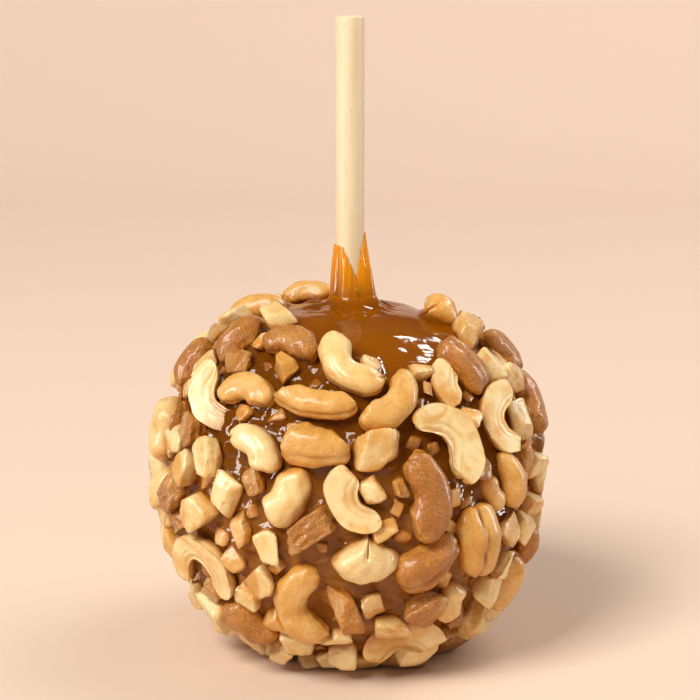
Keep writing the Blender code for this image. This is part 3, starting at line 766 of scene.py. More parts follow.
def swelling(nut, base, x, turn, rng):
    """How far the skin of a cashew stands out from its plain section: boxiness, a lean to one
    side, fuller ends, slow waves, and wrinkles that run along it."""
    seed = nut_seed(nut)
    arc, radius, width, _ = spine(nut)
    thick = section(nut, x)
    across, broad = np.cos(turn), np.sin(turn)
    boxy = (np.abs(across) ** BOX_POWER + np.abs(broad) ** BOX_POWER) ** (-1 / BOX_POWER) - 1
    lean = rng.uniform(-0.08, 0.08) * x + rng.uniform(-0.05, 0.03) * np.cos(math.pi * x)
    blunt = rng.uniform(*BLUNT, 2)
    blunt = np.where(x < 0, blunt[0], blunt[1])
    fuller = np.sqrt((1 - np.abs(x) ** blunt + 1e-4) / (1 - np.abs(x) ** TAPER + 1e-4)) - 1
    if nut.kind == "broken":
        fuller = 0 * x
    swell = thick * (BOXY * boxy + lean + FULLER * fuller)
    for k, (share, length) in enumerate((SLOW_SWELL, FINE_SWELL)):
        swell = swell + share * width * waves(base, length, seed + k)
    along = 3.5 * arc * radius * x / 4
    lengthways = np.stack([2.2 * thick * across, along, 2.2 * thick * broad], axis=-1)
    return swell + WRINKLED[nut.tone] * waves(lengthways, WRINKLE_LENGTH, seed + 2)


print("the fine skin is", SLOW_SWELL[0] + FINE_SWELL[0], "of a nut's half width high at most")

# %% [markdown]
# ## Seams, clefts and split faces
# A whole cashew is two halves pressed together: a seam runs along its back and through its hollow,
# and opens at the ends. A split one shows its flat side: a thin skin round the edge, a broad pale
# field, a fine groove, and a tan channel along the hollow side. The ends of many are nicked
# between an inner and an outer lobe, and a broad half is cleft in its hollow side.

# %% Seams and split faces
SEAM_WIDTH = 0.00034
SEAM_DEPTH = 0.00034
END_CREASE = 0.0007  # how much deeper the seam is at the ends
SEAM_WANDER = (0.10, 0.02)  # how far the seam strays, by the half width, and over what length
BROAD = 0.3  # halves broader than this, by their length, have a cleft in the hollow side
CLEFT = (0.5, 0.1, 0.15)  # its depth by the half width, its place along the nut and its width
NICK_WIDE = 0.22
NICK_DEEP = 0.3  # how deep an end is nicked at most, by the half width


def seam_of(nut, base, x, across, rng):
    """A whole nut's seam: how dark it is painted, as painted shade in its groove, and how deep, as
    hills over the distance from the plane between its halves. Most of it is shallow; at the ends it
    opens."""
    width = spine(nut)[2]
    end = ramp(np.abs(x), 0.72, 0.97)
    stray = SEAM_WANDER[0] * width * waves(base * (1, 1, 0), SEAM_WANDER[1], nut_seed(nut) + 3)
    away = np.abs(base[:, 2] - stray)
    back = rng.uniform(0.2, 1) * ramp(across, -0.4, 0.2)
    shallow = 0.35 + 0.65 * back + 0.5 * ramp(-across, 0.5, 0.9)
    opened = end * rng.uniform(0.3, 1)
    # The seam is painted darker, as painted shade in its groove, deeper and darker where the nut is
    # rolled.
    dark = hill(away, SEAM_WIDTH * (1 + opened)) * np.clip(shallow + end, 0, 1)
    deep = SEAM_DEPTH * shallow * (1 + nut.roll / 60) + END_CREASE * opened
    deep = deep * hill(away, SEAM_WIDTH * (1.4 + 1.6 * opened))
    return dark * (1 + nut.roll / 90), deep


def split_face(across, x):
    """A split nut's flat side: how hollow it is, by the nut's width, how pale, and where its
    groove runs. It reaches across from -1 at the hollow side to 1 at the back; channel and groove
    are hills over it."""
    channel = hill(across + 0.70 + 0.08 * x, 0.15)
    groove = hill(across + 0.22 + 0.1 * x, 0.045)
    hollow = 0.10 * channel + 0.06 * groove + 0.02 * ramp(-across, 0.2, 0.3)
    return hollow, 1 - 0.8 * channel, groove


def flattened(nut, points, x, turn):
    """A split nut's points with its flat side hollowed, and the looks of that side."""
    across, broad = np.cos(turn), np.sin(turn)
    hollow, pale, groove = split_face(across, x)
    face = ramp(broad, 0.0, 0.02) * (1 - ramp(np.abs(x), 0.9, 0.99))
    uneven = 0.02 * spine(nut)[2] * waves(cashew(nut, x, turn), 0.004, nut_seed(nut) + 5)
    points[:, 2] = np.where(broad > 0, 0, points[:, 2])
    points[:, 2] -= face * (section(nut, x) * hollow - uneven)
    cut = face * pale * ramp(1 - np.abs(across), 0.0, 0.08)
    # The groove and the channel are painted darker, as painted shade in them.
    seam = face * (0.3 * groove + 0.5 * (1 - pale))
    return points, cut, seam, 1.6 * face * hill(1 - np.abs(across), 0.07)


def notches(nut, x, across, rng):
    """How far points move where a nut is nicked: back from its ends, between an inner and an outer
    lobe, or for a broad half outwards from the middle of its hollow side."""
    arc, _, width, _ = spine(nut)
    middle = rng.uniform(-0.3, 0.5)
    nick = hill(across - middle, NICK_WIDE) * ramp(np.abs(x), 0.55, 0.95)
    deep = np.where(x < 0, *rng.uniform(0, NICK_DEEP, 2)) * width * nick
    deep = deep * (nut.kind in ("whole", "split"))
    ahead = np.stack([np.sin(arc * x), np.cos(arc * x), 0 * x], axis=-1)
    moved = -ahead * (np.sign(x) * deep)[:, None]
    if nut.kind == "half" and nut.fat > BROAD:
        share, place, wide = CLEFT
        moved[:, 0] -= share * width * hill(x - place, wide) * ramp(-across, 0.2, 0.9)
    return moved


print("seam:", SEAM_WIDTH, "wide; the flat side is hollow by", split_face(-0.7, 0)[0], "of the width")

# %% [markdown]
# ## From formula to nut
# The pieces above come together here: the plain spindle or chip gets its skin, its seam or flat
# side and its breaks, and hands on what the finish needs to know of each point.

# %% Cashews and chips in detail
CRISP = 40  # how sharp the edges of a chip are
CHIP_RELIEF = [(0.03, 1.6), (0.010, 0.35)]  # a chip's unevenness by its size: height and length
CHIP_WRINKLE = {"pale": 0.00004, "tan": 0.00007, "roasted": 0.00030}  # its fine relief, in metres
SKIN_FROM = {"pale": 0.6, "tan": 0.1, "roasted": -0.5}  # how much of a chip is skin, by its roast


def fine_cashew(nut, facing):
    """The cashew formula with its skin, seam, flat side and breaks, and its looks."""
    seed = nut_seed(nut)
    rng = np.random.default_rng(seed)
    x = facing[:, 2]
    turn = np.where(np.abs(x) > 1 - 1e-9, 0, np.arctan2(facing[:, 1], facing[:, 0]))
    across = np.cos(turn)
    base = cashew(nut, x, turn)
    way = base - middle_line(nut, x)
    way /= np.maximum(np.linalg.norm(way, axis=-1), 1e-9)[:, None]
    swell = swelling(nut, base, x, turn, rng)
    cut, seam, rim = 0 * x, 0 * x, 0 * x
    if nut.kind in ("whole", "broken"):
        seam, deep = seam_of(nut, base, x, across, rng)
        swell = swell - deep
    points = base + way * swell[:, None] + notches(nut, x, across, rng)
    if nut.kind == "split":
        points, cut, seam, rim = flattened(nut, points, x, turn)
    if nut.kind == "half":
        points[:, 2] = np.maximum(points[:, 2], 0)
    points, cut, rim = breaks(nut, points, cut, rim, seed + 6)
    return points, cut, seam, rim


def fine_chip(nut, facing):
    """The chopped piece with crisper edges and one side of skin, and its looks."""
    seed = nut_seed(nut)
    rng = np.random.default_rng(seed)
    uneven = sum(high * waves(facing, wide, seed + k) for k, (high, wide) in enumerate(CHIP_RELIEF))
    points = chunk(nut, facing, CRISP) * (1 + uneven)[:, None]
    wrinkles = CHIP_WRINKLE[nut.tone] * waves(points * (1, 0.4, 1), 0.0022, seed + 2)
    points = points + facing * wrinkles[:, None]
    side = rng.normal(size=3)
    side /= np.linalg.norm(side)
    from_side = SKIN_FROM[nut.tone]
    skin = ramp(facing @ side, from_side, from_side + 0.2)
    points, cut, rim = breaks(nut, points, 1 - skin, 0 * skin, seed + 6)
    return points, cut, 0 * skin, rim


print("a detailed nut from", len(grid_directions(40, 44)), "points")

# %% [markdown]
# ## One mesh for each kind
# Hundreds of objects would be slow to handle. All nuts of a kind are one mesh instead, made from
# whole arrays, with the numbers for the finish stored on its points.

# %% Joined nuts
TONE_LEVEL = {"pale": 0.12, "tan": 0.42, "roasted": 0.84}
FRESH = {"pale": 1.0, "tan": 0.8, "roasted": 0.4}  # how pale a broken face is
SALT = {"pale": (0.1, 0.5), "tan": (0.1, 0.5), "roasted": (1, 1)}  # how salted, least and most
PRESSED = 0.8  # how much of what stands out past the crust is pressed in
FLOOR_CLEAR = 0.0002  # the low nuts rest this far over the ground
GROWTH = 1.02  # the joined chips touch their neighbours, which separate solids may not
KINDS = ("whole", "half", "split", "broken", "chunk")


def dressed(nut, facing):
    """One nut's points in the world, and its looks by point."""
    points, cut, seam, rim = (fine_chip if nut.kind == "chunk" else fine_cashew)(nut, facing)
    axes, middle = seat(nut)
    world = middle + points @ axes
    _, lat, far = ball_place(world)
    rise = far - coat(lat)
    tall = np.maximum(rise - CRUST, 0)
    world = world - (world - (0, 0, LOW_R)) * (PRESSED * tall / far)[:, None]
    rng = np.random.default_rng(nut_seed(nut) + 5)
    tone = TONE_LEVEL[nut.tone] + rng.uniform(-0.08, 0.08)
    salt = rng.uniform(*SALT[nut.tone])
    count = np.ones(len(world))
    looks = dict(zip(LOOKS, (tone * count, FRESH[nut.tone] * cut, seam, rim, rise / MM, salt * count)))
    return world, looks


def joined(name, nuts, rows, sides):
    """All nuts of a kind as one object."""
    facing = grid_directions(rows, sides)
    quads, tris = grid_faces(rows, sides)
    made = [dressed(nut, facing) for nut in nuts]
    first = np.arange(len(nuts))[:, None, None] * len(facing)
    points = np.vstack([world for world, _ in made])
    points[:, 2] = np.maximum(points[:, 2], FLOOR_CLEAR)
    looks = {key: np.concatenate([one[key] for _, one in made]) for key in LOOKS}
    quads = (quads[None] + first).reshape(-1, 4)
    tris = (tris[None] + first).reshape(-1, 3)
    obj = mesh_object(name, points, quads, tris, looks)
    print(name, len(nuts), "nuts,", 2 * len(quads) + len(tris), "triangles")
    return obj


cashews = large + [nut for nut in small if nut.kind != "chunk"]
chips = [nut for nut in small if nut.kind == "chunk" and nut not in fine]
grown = [nut._replace(size=GROWTH * nut.size) for nut in chips]
kinds = {kind: [nut for nut in cashews if nut.kind == kind] for kind in KINDS}
# The nuts of each piece, and how many rows and sides their grids have.
GRIDS = {
    "cashews_whole": (kinds["whole"], 40, 44),
    "cashews_half": (kinds["half"], 40, 44),
    "cashews_split": (kinds["split"], 48, 64),
    "cashews_broken": (kinds["broken"], 48, 44),
    "cashew_chunks": (kinds["chunk"], 40, 44),
    "chopped_nuts": (grown, 24, 28),
    "fine_chips": (fine, 12, 16),
    "nut_crumbs": (crumbs, 7, 10),
}
pieces = {name: joined(name, *grid) for name, grid in GRIDS.items()}

# %% [markdown]
# ## The caramel
# Soft caramel wets whatever is pressed into it, so its surface isn't a plain ball: it climbs each
# nut in a small curved skirt and lies lower between them. The skirt's height falls off with the
# distance from the nut, H * exp(-d / length), and every nut's distance is known from its formula.
# The coat is one closed turned surface, from the foot over the ball and up the collar to its lip,
# then down inside along the stick, with each row of points lifted by that height.

# %% How far points are from a nut
CLIMB = 0.0010  # how high the caramel climbs at a nut
CLIMB_SHARE = 0.16  # and never more than this share of the nut's length
CLIMB_LENGTH = 0.0009
SECOND_SKIRT = 0.35  # how much of the lower skirt is added where two meet


def distance(nut, axes, middle, points):
    """The distance from points to a nut's surface, by the same measures that seat the nuts."""
    local = (points - middle) @ axes.T
    if nut.kind == "chunk":
        far = np.maximum(np.linalg.norm(local, axis=-1), 1e-9)
        return far - np.linalg.norm(chunk(nut, local / far[:, None]), axis=-1)
    x, way = off_line(nut, local)
    return np.linalg.norm(way, axis=-1) - section(nut, x)


def skirts(points, nuts):
    """The height that the caramel climbs at each point, from the nuts near it."""
    height = np.zeros(len(points))
    for nut in nuts:
        axes, middle = seat(nut)
        near = np.flatnonzero(np.linalg.norm(points - middle, axis=-1) < (0.6 * nut.size + 5) * MM)
        away = np.maximum(distance(nut, axes, middle, points[near]), 0)
        climb = min(CLIMB, CLIMB_SHARE * nut.size * MM) * np.exp(-away / CLIMB_LENGTH)
        second = np.minimum(height[near], climb)
        height[near] = np.maximum(height[near], climb) + SECOND_SKIRT * second
    return height


print("climb at a nut and 2 mm from it:", CLIMB, CLIMB * math.exp(-2 * MM / CLIMB_LENGTH))

# %% [markdown]
# ## The collar
# Where the stick was held while the apple was dipped, the caramel was drawn up it in flame-like
# tips: a broad ragged one on the left, a slim one on the right, and low ones behind. Their height
# is read from a few points round the stick. Ribs run up the film, and it is thicker on the right.

# %% The collar's shape
COLLAR_BASE_Z = 0.0878  # where the collar leaves the dome
COLLAR_NOTCH_Z = 0.0920  # the lowest place of its edge
# Longitude round the stick, and the height of the film's edge over the notch, in millimetres.
TIPS = [
    (-180, 2.5), (-150, 1.8), (-125, 4.4), (-104, 6.2), (-92, 7.6), (-80, 8.0), (-66, 7.4),
    (-50, 7.9), (-38, 7.7), (-26, 7.2), (-14, 5.6), (0, 3.7), (12, 1.9), (22, 0.5), (29, 0.6),
    (38, 4.2), (50, 6.7), (66, 8.8), (79, 10.7), (87, 10.0), (98, 6.5), (112, 3.2), (140, 1.8),
    (165, 4.4), (180, 2.5),
]
RIDGES = [(-84, 15), (-12, 17), (66, 15), (150, 25)]  # where ribs run up the film, and how broad
VALLEYS = [(-50, 13), (27, 12), (105, 15), (-130, 20)]
FILM = 0.00048  # how thick the film is on the stick
FILM_FOOT = 0.0006  # how much thicker it is at its foot
FOOT_BULGE = 0.0018  # and how much more on the right
BULGE_LON = 72
BULGE_WIDE = 46
RIDGE_HIGH = 0.00045
VALLEY_DEEP = 0.00030
FLUTES = 0.00006  # the relief of the fine ribs between them
FLARE_LENGTH = 0.0017  # over what distance the flare round the collar's foot falls off
INNER_R = STICK_R - 0.00005  # the film's inside, pressed on the wood
BORE_FLOOR_Z = stick_low[2] - GAP
DOME_EDGE_R = 0.0095  # inside this the coat's rows follow the distance from the stick
FOOT_LAT = -66
LON_STEPS = 350
BALL_ROWS = 206
FLARE_ROWS = 26
FILM_ROWS = 34
INSIDE_ROWS = 8


def film_top(lon):
    """How high the film's edge is round the stick: the tips, a little ragged."""
    places, heights = np.array(TIPS).T
    ragged = 0.25 * np.sin(np.radians(lon) * 23) + 0.2 * np.sin(np.radians(lon) * 37 + 1)
    return COLLAR_NOTCH_Z + MM * (np.interp(lon, places, heights) + ragged)


def hills(lon, places):
    """A bell for each (longitude, width) round the stick, added up."""
    return sum(bell(lon, place, wide) for place, wide in places)


def film_thickness(lon, share):
    """The film's thickness at a share of its height, 0 at the foot and 1 at the edge: it thins
    upwards, in ribs that run up it."""
    foot = FILM_FOOT + FOOT_BULGE * hill(lon - BULGE_LON, BULGE_WIDE)
    ribs = RIDGE_HIGH * hills(lon, RIDGES) - VALLEY_DEEP * hills(lon, VALLEYS)
    ribs = ribs + FLUTES * np.sin(np.radians(17 * lon) + 2 - 2 * share)
    plain = foot * (1 - share) ** 1.3 + FILM * (1 - 0.4 * share)
    return plain + 2 * ribs * (0.3 + share) * (1.1 - share)


def dome_height(ring):
    """The bare dome's height at a distance from its middle line, by the coat's formula."""
    return LOW_R + TOP_R * (1 - (ring / WIDE_R) ** SHOULDER) ** (1 / SHOULDER)


def foot_rows(lon):
    """The flat foot and the skirt round it."""
    flat = [(share * FOOT_R, 0) for share in (0.33, 0.66, 0.9)]
    skirt = [(FOOT_R + 0.0009 * share, 0.0014 * share**1.5) for share in np.linspace(0, 1, 6)]
    return [(ring + 0 * lon, height + 0 * lon, 0 * lon) for ring, height in flat + skirt]


def shell_rows(lon):
    """The ball by latitude, and the dome's top by the distance from the stick, where it rises to
    the collar's foot in a flare that falls off as exp(-d / length)."""
    rows = []
    edge_lat = 90 - math.degrees(math.asin(DOME_EDGE_R / coat(78)))
    for lat in np.linspace(FOOT_LAT, edge_lat, BALL_ROWS)[:-1]:
        reach, turn = coat(lat), math.radians(lat)
        ring, height = reach * math.cos(turn), LOW_R + reach * math.sin(turn)
        rows.append((ring + 0 * lon, height + 0 * lon, 0 * lon))
    foot = STICK_R + film_thickness(lon, 0)
    for share in np.linspace(1, 0, FLARE_ROWS)[:-1]:
        ring = foot + share**1.4 * (DOME_EDGE_R - foot)
        flare = np.exp(-(ring - foot) / FLARE_LENGTH) * (1 - share)
        rise = COLLAR_BASE_Z - dome_height(foot)
        rows.append((ring, dome_height(ring) + rise * flare, 0.35 * flare))
    return rows


def collar_rows(lon):
    """The film's outside from its foot to its edge, and its inside down to the end of the bore."""
    rows = []
    top = film_top(lon)
    for share in np.linspace(0, 1, FILM_ROWS):
        ring = STICK_R + film_thickness(lon, share)
        # The film's valleys lower this share, so that they are painted darker: painted shade in the
        # valleys.
        thin = (0.35 + 0.65 * share) * (1 - 0.5 * hills(lon, VALLEYS) * (1 - 0.6 * share))
        rows.append((ring, COLLAR_BASE_Z + share * (top - COLLAR_BASE_Z), thin))
    lip = STICK_R + 0.4 * film_thickness(lon, 1)
    rows.append((lip, top + 0.00008, 1 + 0 * lon))
    for share in np.linspace(1, 0, INSIDE_ROWS):
        height = BORE_FLOOR_Z + share**0.25 * (top - 0.0001 - BORE_FLOOR_Z)
        rows.append((INNER_R + 0 * lon, height, 1 + 0 * lon))
    return rows


edge = film_top(np.arange(-180, 180))
print("film edge from", round(edge.min(), 4), "to", round(edge.max(), 4))

# %% [markdown]
# ## Pouring the coat
# The rows above are stacked into one grid, and the part between foot and collar is lifted outwards:
# skirts at the nuts, a thicker bed among them, and slow waves, because dipped caramel sets while it
# still runs. Volume inside the closed surface is printed as a check that its faces point outwards.

# %% The coat's mesh
FLOOD = 0.0001  # how much thicker the coat is among the nuts
# Its waves: height, length and seed. Broad ones and fine ones, strong only among the nuts; slow
# ones over the dome; and short folds round the collar.
BROAD_WAVES = (0.00028, 0.009, 3)
FINE_WAVES = (0.00016, 0.0032, 4)
DOME_WAVES = (0.00025, 0.015, 6)
COLLAR_FOLDS = (0.00045, 0.0048, 12)
BARE_SHARE = 0.12  # how much of the first two is left on the bare dome


def relief(points, kind):
    """Waves of a given (height, length, seed)."""
    high, length, seed = kind
    return high * waves(points, length, seed)


def lifted(points, nuts):
    """The shell's points moved out from the middle by the caramel's own relief."""
    lon, lat, far = ball_place(points)
    out = (points - (0, 0, LOW_R)) / far[:, None]
    among = ramp(crown(lon) - lat, -4, 6) * ramp(lat, FOOT_LAT, FOOT_LAT + 6)
    ease = ramp(lat, FOOT_LAT, FOOT_LAT + 4) * ramp(90 - lat, 6, 12)
    rough = relief(points, BROAD_WAVES) + relief(points, FINE_WAVES)
    rough = rough * (BARE_SHARE + (1 - BARE_SHARE) * among)
    folds = relief(points * (1, 1, 2.5), DOME_WAVES) * ramp(lat, 45, 62)
    folds = folds + relief(points, COLLAR_FOLDS) * ramp(lat, 71, 77) * ramp(90 - lat, 7, 10)
    grow = skirts(points, nuts) + FLOOD * among + rough + folds
    return points + out * (ease * grow)[:, None]


lons = np.linspace(-180, 180, LON_STEPS, endpoint=False)
foot_part, shell_part, collar_part = foot_rows(lons), shell_rows(lons), collar_rows(lons)
ring, height, thin = np.array(foot_part + shell_part + collar_part).transpose(1, 0, 2)
grid = np.stack([ring * np.sin(np.radians(lons)), -ring * np.cos(np.radians(lons)), height], axis=-1)
shell = slice(len(foot_part), len(foot_part) + len(shell_part))
grid[shell] = lifted(grid[shell].reshape(-1, 3), large + small + crumbs).reshape(grid[shell].shape)
coat_points = np.vstack([[(0, 0, 0)], grid.reshape(-1, 3), [(0, 0, BORE_FLOOR_Z)]])
coat_thin_with_valley_shade = np.concatenate([[0], thin.ravel(), [1]])
lon, lat, _ = ball_place(coat_points)
# Among the nuts, where the finish paints the caramel in its pocket colour as painted shade in the gaps,
# and gives it finer ripples.
coat_gaps_and_shade = ramp(crown(lon) - lat, -6, 8)
quads, tris = grid_faces(len(grid), LON_STEPS)
coat_looks = {"thin": coat_thin_with_valley_shade, "deep": coat_gaps_and_shade}
pieces["caramel_coat"] = mesh_object("caramel_coat", coat_points, quads, tris, coat_looks)
print("caramel:", 2 * len(quads) + len(tris), "triangles")

# %% [markdown]
# ## The stick
# The dowel is a turned profile with eased ends. Its flat ends get rows of points as well, so that
# the end grain has its own shading.

# %% The stick's mesh
STICK_SIDES = 64
STICK_ROWS = 60
STICK_LENGTH = STICK_TOP - stick_low[2]
EASE = 0.0005  # how far its ends are eased
UNEVEN = 0.00003  # how much slimmer it gets, and swells again, along its length


def stick_rows():
    """Rings of the dowel from the middle of its lower end to the middle of its upper end."""
    turn = np.linspace(0, math.pi / 2, 5)
    flat = np.linspace(0.2, 0.99, 5) * (STICK_R - EASE)
    eased = STICK_R - EASE + EASE * np.sin(turn)
    low = [(r, 0) for r in flat] + list(zip(eased, EASE - EASE * np.cos(turn)))
    middle = [(STICK_R, z) for z in np.linspace(EASE, STICK_LENGTH - EASE, STICK_ROWS)[1:-1]]
    high = [(r, STICK_LENGTH - z) for r, z in reversed(low)]
    return np.array(low + middle + high)


stick_ring, stick_z = stick_rows().T[:, :, None]
swell = UNEVEN * waves(stick_z * (0, 0, 1), 0.04, 8)[:, None]
stick_ring = stick_ring + swell * (stick_ring > 0.9 * STICK_R) - UNEVEN
turns = np.linspace(0, 2 * math.pi, STICK_SIDES, endpoint=False)
rings = np.stack(np.broadcast_arrays(
    stick_ring * np.cos(turns), stick_ring * np.sin(turns), stick_low[2] + stick_z), axis=-1)
stick_points = np.vstack([[(0, 0, stick_low[2])], rings.reshape(-1, 3), [(0, 0, STICK_TOP)]])
pieces["birch_stick"] = mesh_object("birch_stick", stick_points, *grid_faces(len(rings), STICK_SIDES))


def enclosed(obj):
    """The volume inside a closed mesh, above 0 where its faces point outwards."""
    mesh = obj.data
    mesh.calc_loop_triangles()
    corners = np.empty(3 * len(mesh.loop_triangles), dtype=np.int32)
    mesh.loop_triangles.foreach_get("vertices", corners)
    places = np.empty(3 * len(mesh.vertices), dtype=np.float32)
    mesh.vertices.foreach_get("co", places)
    a, b, c = places.reshape(-1, 3)[corners.reshape(-1, 3)].transpose(1, 0, 2).astype(float)
    return np.einsum("ij,ij->i", a, np.cross(b, c)).sum() / 6


for obj in pieces.values():
    print(obj.name, "encloses", round(enclosed(obj) * 1e6, 3), "ml")

# %% [markdown]
# ## Writing finishes as sums
# A finish is a tree of shader nodes. To keep the arithmetic readable, a small class wraps an output
# socket, and +, - and * on it add Math nodes. Any other node comes from one method that takes the
# node's type, its settings and the values or links of its sockets.

# %% Wires and finishes


class Wire:
    """One output socket of a tree of nodes. Arithmetic on it adds Math nodes."""

    def __init__(self, tree, socket):
        self.tree = tree
        self.socket = socket

    def math(self, operation, a, b=0.0):
        return self.tree.add("ShaderNodeMath", {"operation": operation}, {0: a, 1: b})

    def __add__(self, other):
        return self.math("ADD", self, other)

    def __sub__(self, other):
        return self.math("SUBTRACT", self, other)

    def __rsub__(self, other):
        return self.math("SUBTRACT", other, self)

    def __mul__(self, other):
        return self.math("MULTIPLY", self, other)

    __radd__ = __add__
    __rmul__ = __mul__


class Tree:
    """A tree of nodes that adds and links them."""

    def __init__(self, tree):
        self.nodes = tree.nodes
        self.links = tree.links

    def add(self, kind, settings, sockets, output=0):
        """Adds a node: its settings first, a ramp's stops among them, and then its sockets."""
        node = self.nodes.new(kind)
        for key, value in settings.items():
            if key == "stops":
                self.set_stops(node.color_ramp.elements, value)
            else:
                setattr(node, key, value)
        for key, value in sockets.items():
            self.join(value, node.inputs[key])
        return Wire(self, node.outputs[output])

    def set_stops(self, elements, stops):
        """Fills a colour ramp from (place, colour) pairs."""
        while len(elements) < len(stops):
            elements.new(1)
        for element, (place, colour) in zip(elements, stops):
            element.position = place
            element.color = (*colour, 1)

    def join(self, value, socket):
        """Links a wire to a socket, or sets the socket's value."""
        if isinstance(value, Wire):
            self.links.new(value.socket, socket)
        else:
            socket.default_value = value

    def blend(self, share, a, b):
        """Colour a, and colour b by a share from 0 to 1."""
        a = a if isinstance(a, Wire) else (*a, 1)
        b = b if isinstance(b, Wire) else (*b, 1)
        return self.add("ShaderNodeMix", {"data_type": "RGBA"}, {0: share, 6: a, 7: b}, 2)


class Finish(Tree):
    """A material whose Principled shader gets its inputs from sums of wires."""

    def __init__(self, name, **constants):
        self.material = bpy.data.materials.new(name)
        self.material.use_nodes = True
        super().__init__(self.material.node_tree)
        self.shader = self.nodes["Principled BSDF"]
        for socket, value in constants.items():
            self.shader.inputs[socket.replace("_", " ")].default_value = value

    def to_shader(self, **sockets):
        for name, value in sockets.items():
            self.join(value, self.shader.inputs[name.replace("_", " ")])

    def look(self, name):
        """A number stored on the mesh's points."""
        return self.add("ShaderNodeAttribute", {"attribute_name": name}, {}, "Fac")

    def place(self, stretch=(1, 1, 1)):
        """The object's own coordinates in metres, stretched."""
        where = self.add("ShaderNodeTexCoord", {}, {}, "Object")
        return self.add("ShaderNodeMapping", {}, {"Vector": where, "Scale": stretch})

    def noise(self, size, detail=2.0, stretch=(1, 1, 1), roughness=0.5, warp=0.0):
        """Soft random mottling with patches of about the given size in metres, from 0 to 1."""
        sockets = {"Vector": self.place(stretch), "Scale": 1 / size, "Detail": detail,
                   "Roughness": roughness, "Distortion": warp}
        return self.add("ShaderNodeTexNoise", {}, sockets)

    def specks(self, size):
        """The distance to the nearest of a cloud of scattered points, in units of their spacing."""
        sockets = {"Vector": self.place(), "Scale": 1 / size}
        return self.add("ShaderNodeTexVoronoi", {"feature": "F1"}, sockets)

    def over(self, value, low, high):
        """0 where the value is under low, 1 where it is over high, and smooth between them."""
        sockets = {"Value": value, "From Min": low, "From Max": high}
        return self.add("ShaderNodeMapRange", {"interpolation_type": "SMOOTHSTEP"}, sockets)

    def bump(self, height, depth):
        """A Normal from a height between 0 and 1 that stands for a depth in metres."""
        sockets = {"Height": height, "Distance": depth}
        self.to_shader(Normal=self.add("ShaderNodeBump", {}, sockets, "Normal"))


def tint(hex_colour):
    """A colour from six hexadecimal digits, as the linear values that shaders use."""
    parts = np.array([int(hex_colour[k:k + 2], 16) for k in (0, 2, 4)]) / 255
    linear = np.where(parts <= 0.04045, parts / 12.92, ((parts + 0.055) / 1.055) ** 2.4)
    return tuple(float(part) for part in linear)


print("pale nut as linear colour:", [round(part, 3) for part in tint("EBD49B")])

# %% [markdown]
# ## Caramel
# Caramel is clear brown sugar glass clouded with milk. Among the nuts it is painted darker, as painted
# shade in the gaps, and lighter towards the bottom; it is amber where it is thin and light gets through
# it, as in the film on the stick, and painted darker in the film's valleys, as painted shade. The
# attribute for thin film steers that.
# Low roughness gives the sharp reflections, and a slow bump breaks them up as on poured sugar.

# %% Caramel finish


def caramel_finish():
    finish = Finish("caramel", IOR=1.42, Specular_IOR_Level=0.35,
                    Subsurface_Weight=0.12, Subsurface_Radius=(1.0, 0.35, 0.03), Subsurface_Scale=0.002)
    thin = finish.look("thin")
    cloud = finish.noise(0.012, 3)
    clear = finish.blend(finish.over(cloud, 0.35, 0.7), tint("7E4001"), tint("8C4C02"))
    # Among the nuts the caramel takes the pocket colour, painted shade in the gaps: dark high up and
    # lighter towards the bottom.
    height = finish.add("ShaderNodeSeparateXYZ", {}, {"Vector": finish.place()}, "Z")
    towards_bottom = finish.over(height + 0.02 * cloud, 0.075, 0.040)
    pocket = finish.blend(towards_bottom, tint("703C04"), tint("955C20"))
    colour = finish.blend(finish.look("deep"), clear, pocket)
    # Thin film is amber; in the collar's valleys it is painted darker, as painted shade.
    colour = finish.blend(finish.over(thin, 0.0, 0.9), colour, tint("EC9518"))
    finish.to_shader(Base_Color=colour)
    finish.to_shader(Roughness=0.03 + 0.07 * finish.noise(0.004, 2))
    ripples = 0.5 * finish.noise(0.0012, 2) + finish.noise(0.0026, 1)
    finish.bump(ripples * (0.25 + 0.75 * finish.look("deep")) + 2.0 * finish.noise(0.006, 1), 0.00012)
    return finish.material


# %% [markdown]
# ## Roasted cashews
# Each nut carries its roast in `tone`, and the finish mixes it from cream to brown, patchy because an
# oven never browns evenly. Broken faces (`cut`) are pale and waxy with a toasted edge (`rim`). The seam
# and the grooves are painted darker, as painted shade in them. Low down, near `rise` 0, the nut is
# glazed with caramel, and its lower sides are painted golden and then dark brown: partly the real
# caramel glaze, partly painted shade. Dark pits painted on the skin stand for the shade in its pits.
# Salt and fine crumbs make the darker nuts sparkle.

# %% Cashew finish
# From the palest nut to the most roasted.
ROAST = [
    (0.0, tint("F5DAA0")),
    (0.2, tint("EFC67E")),
    (0.45, tint("DDA34E")),
    (0.7, tint("C47E24")),
    (1.0, tint("A46014")),
]


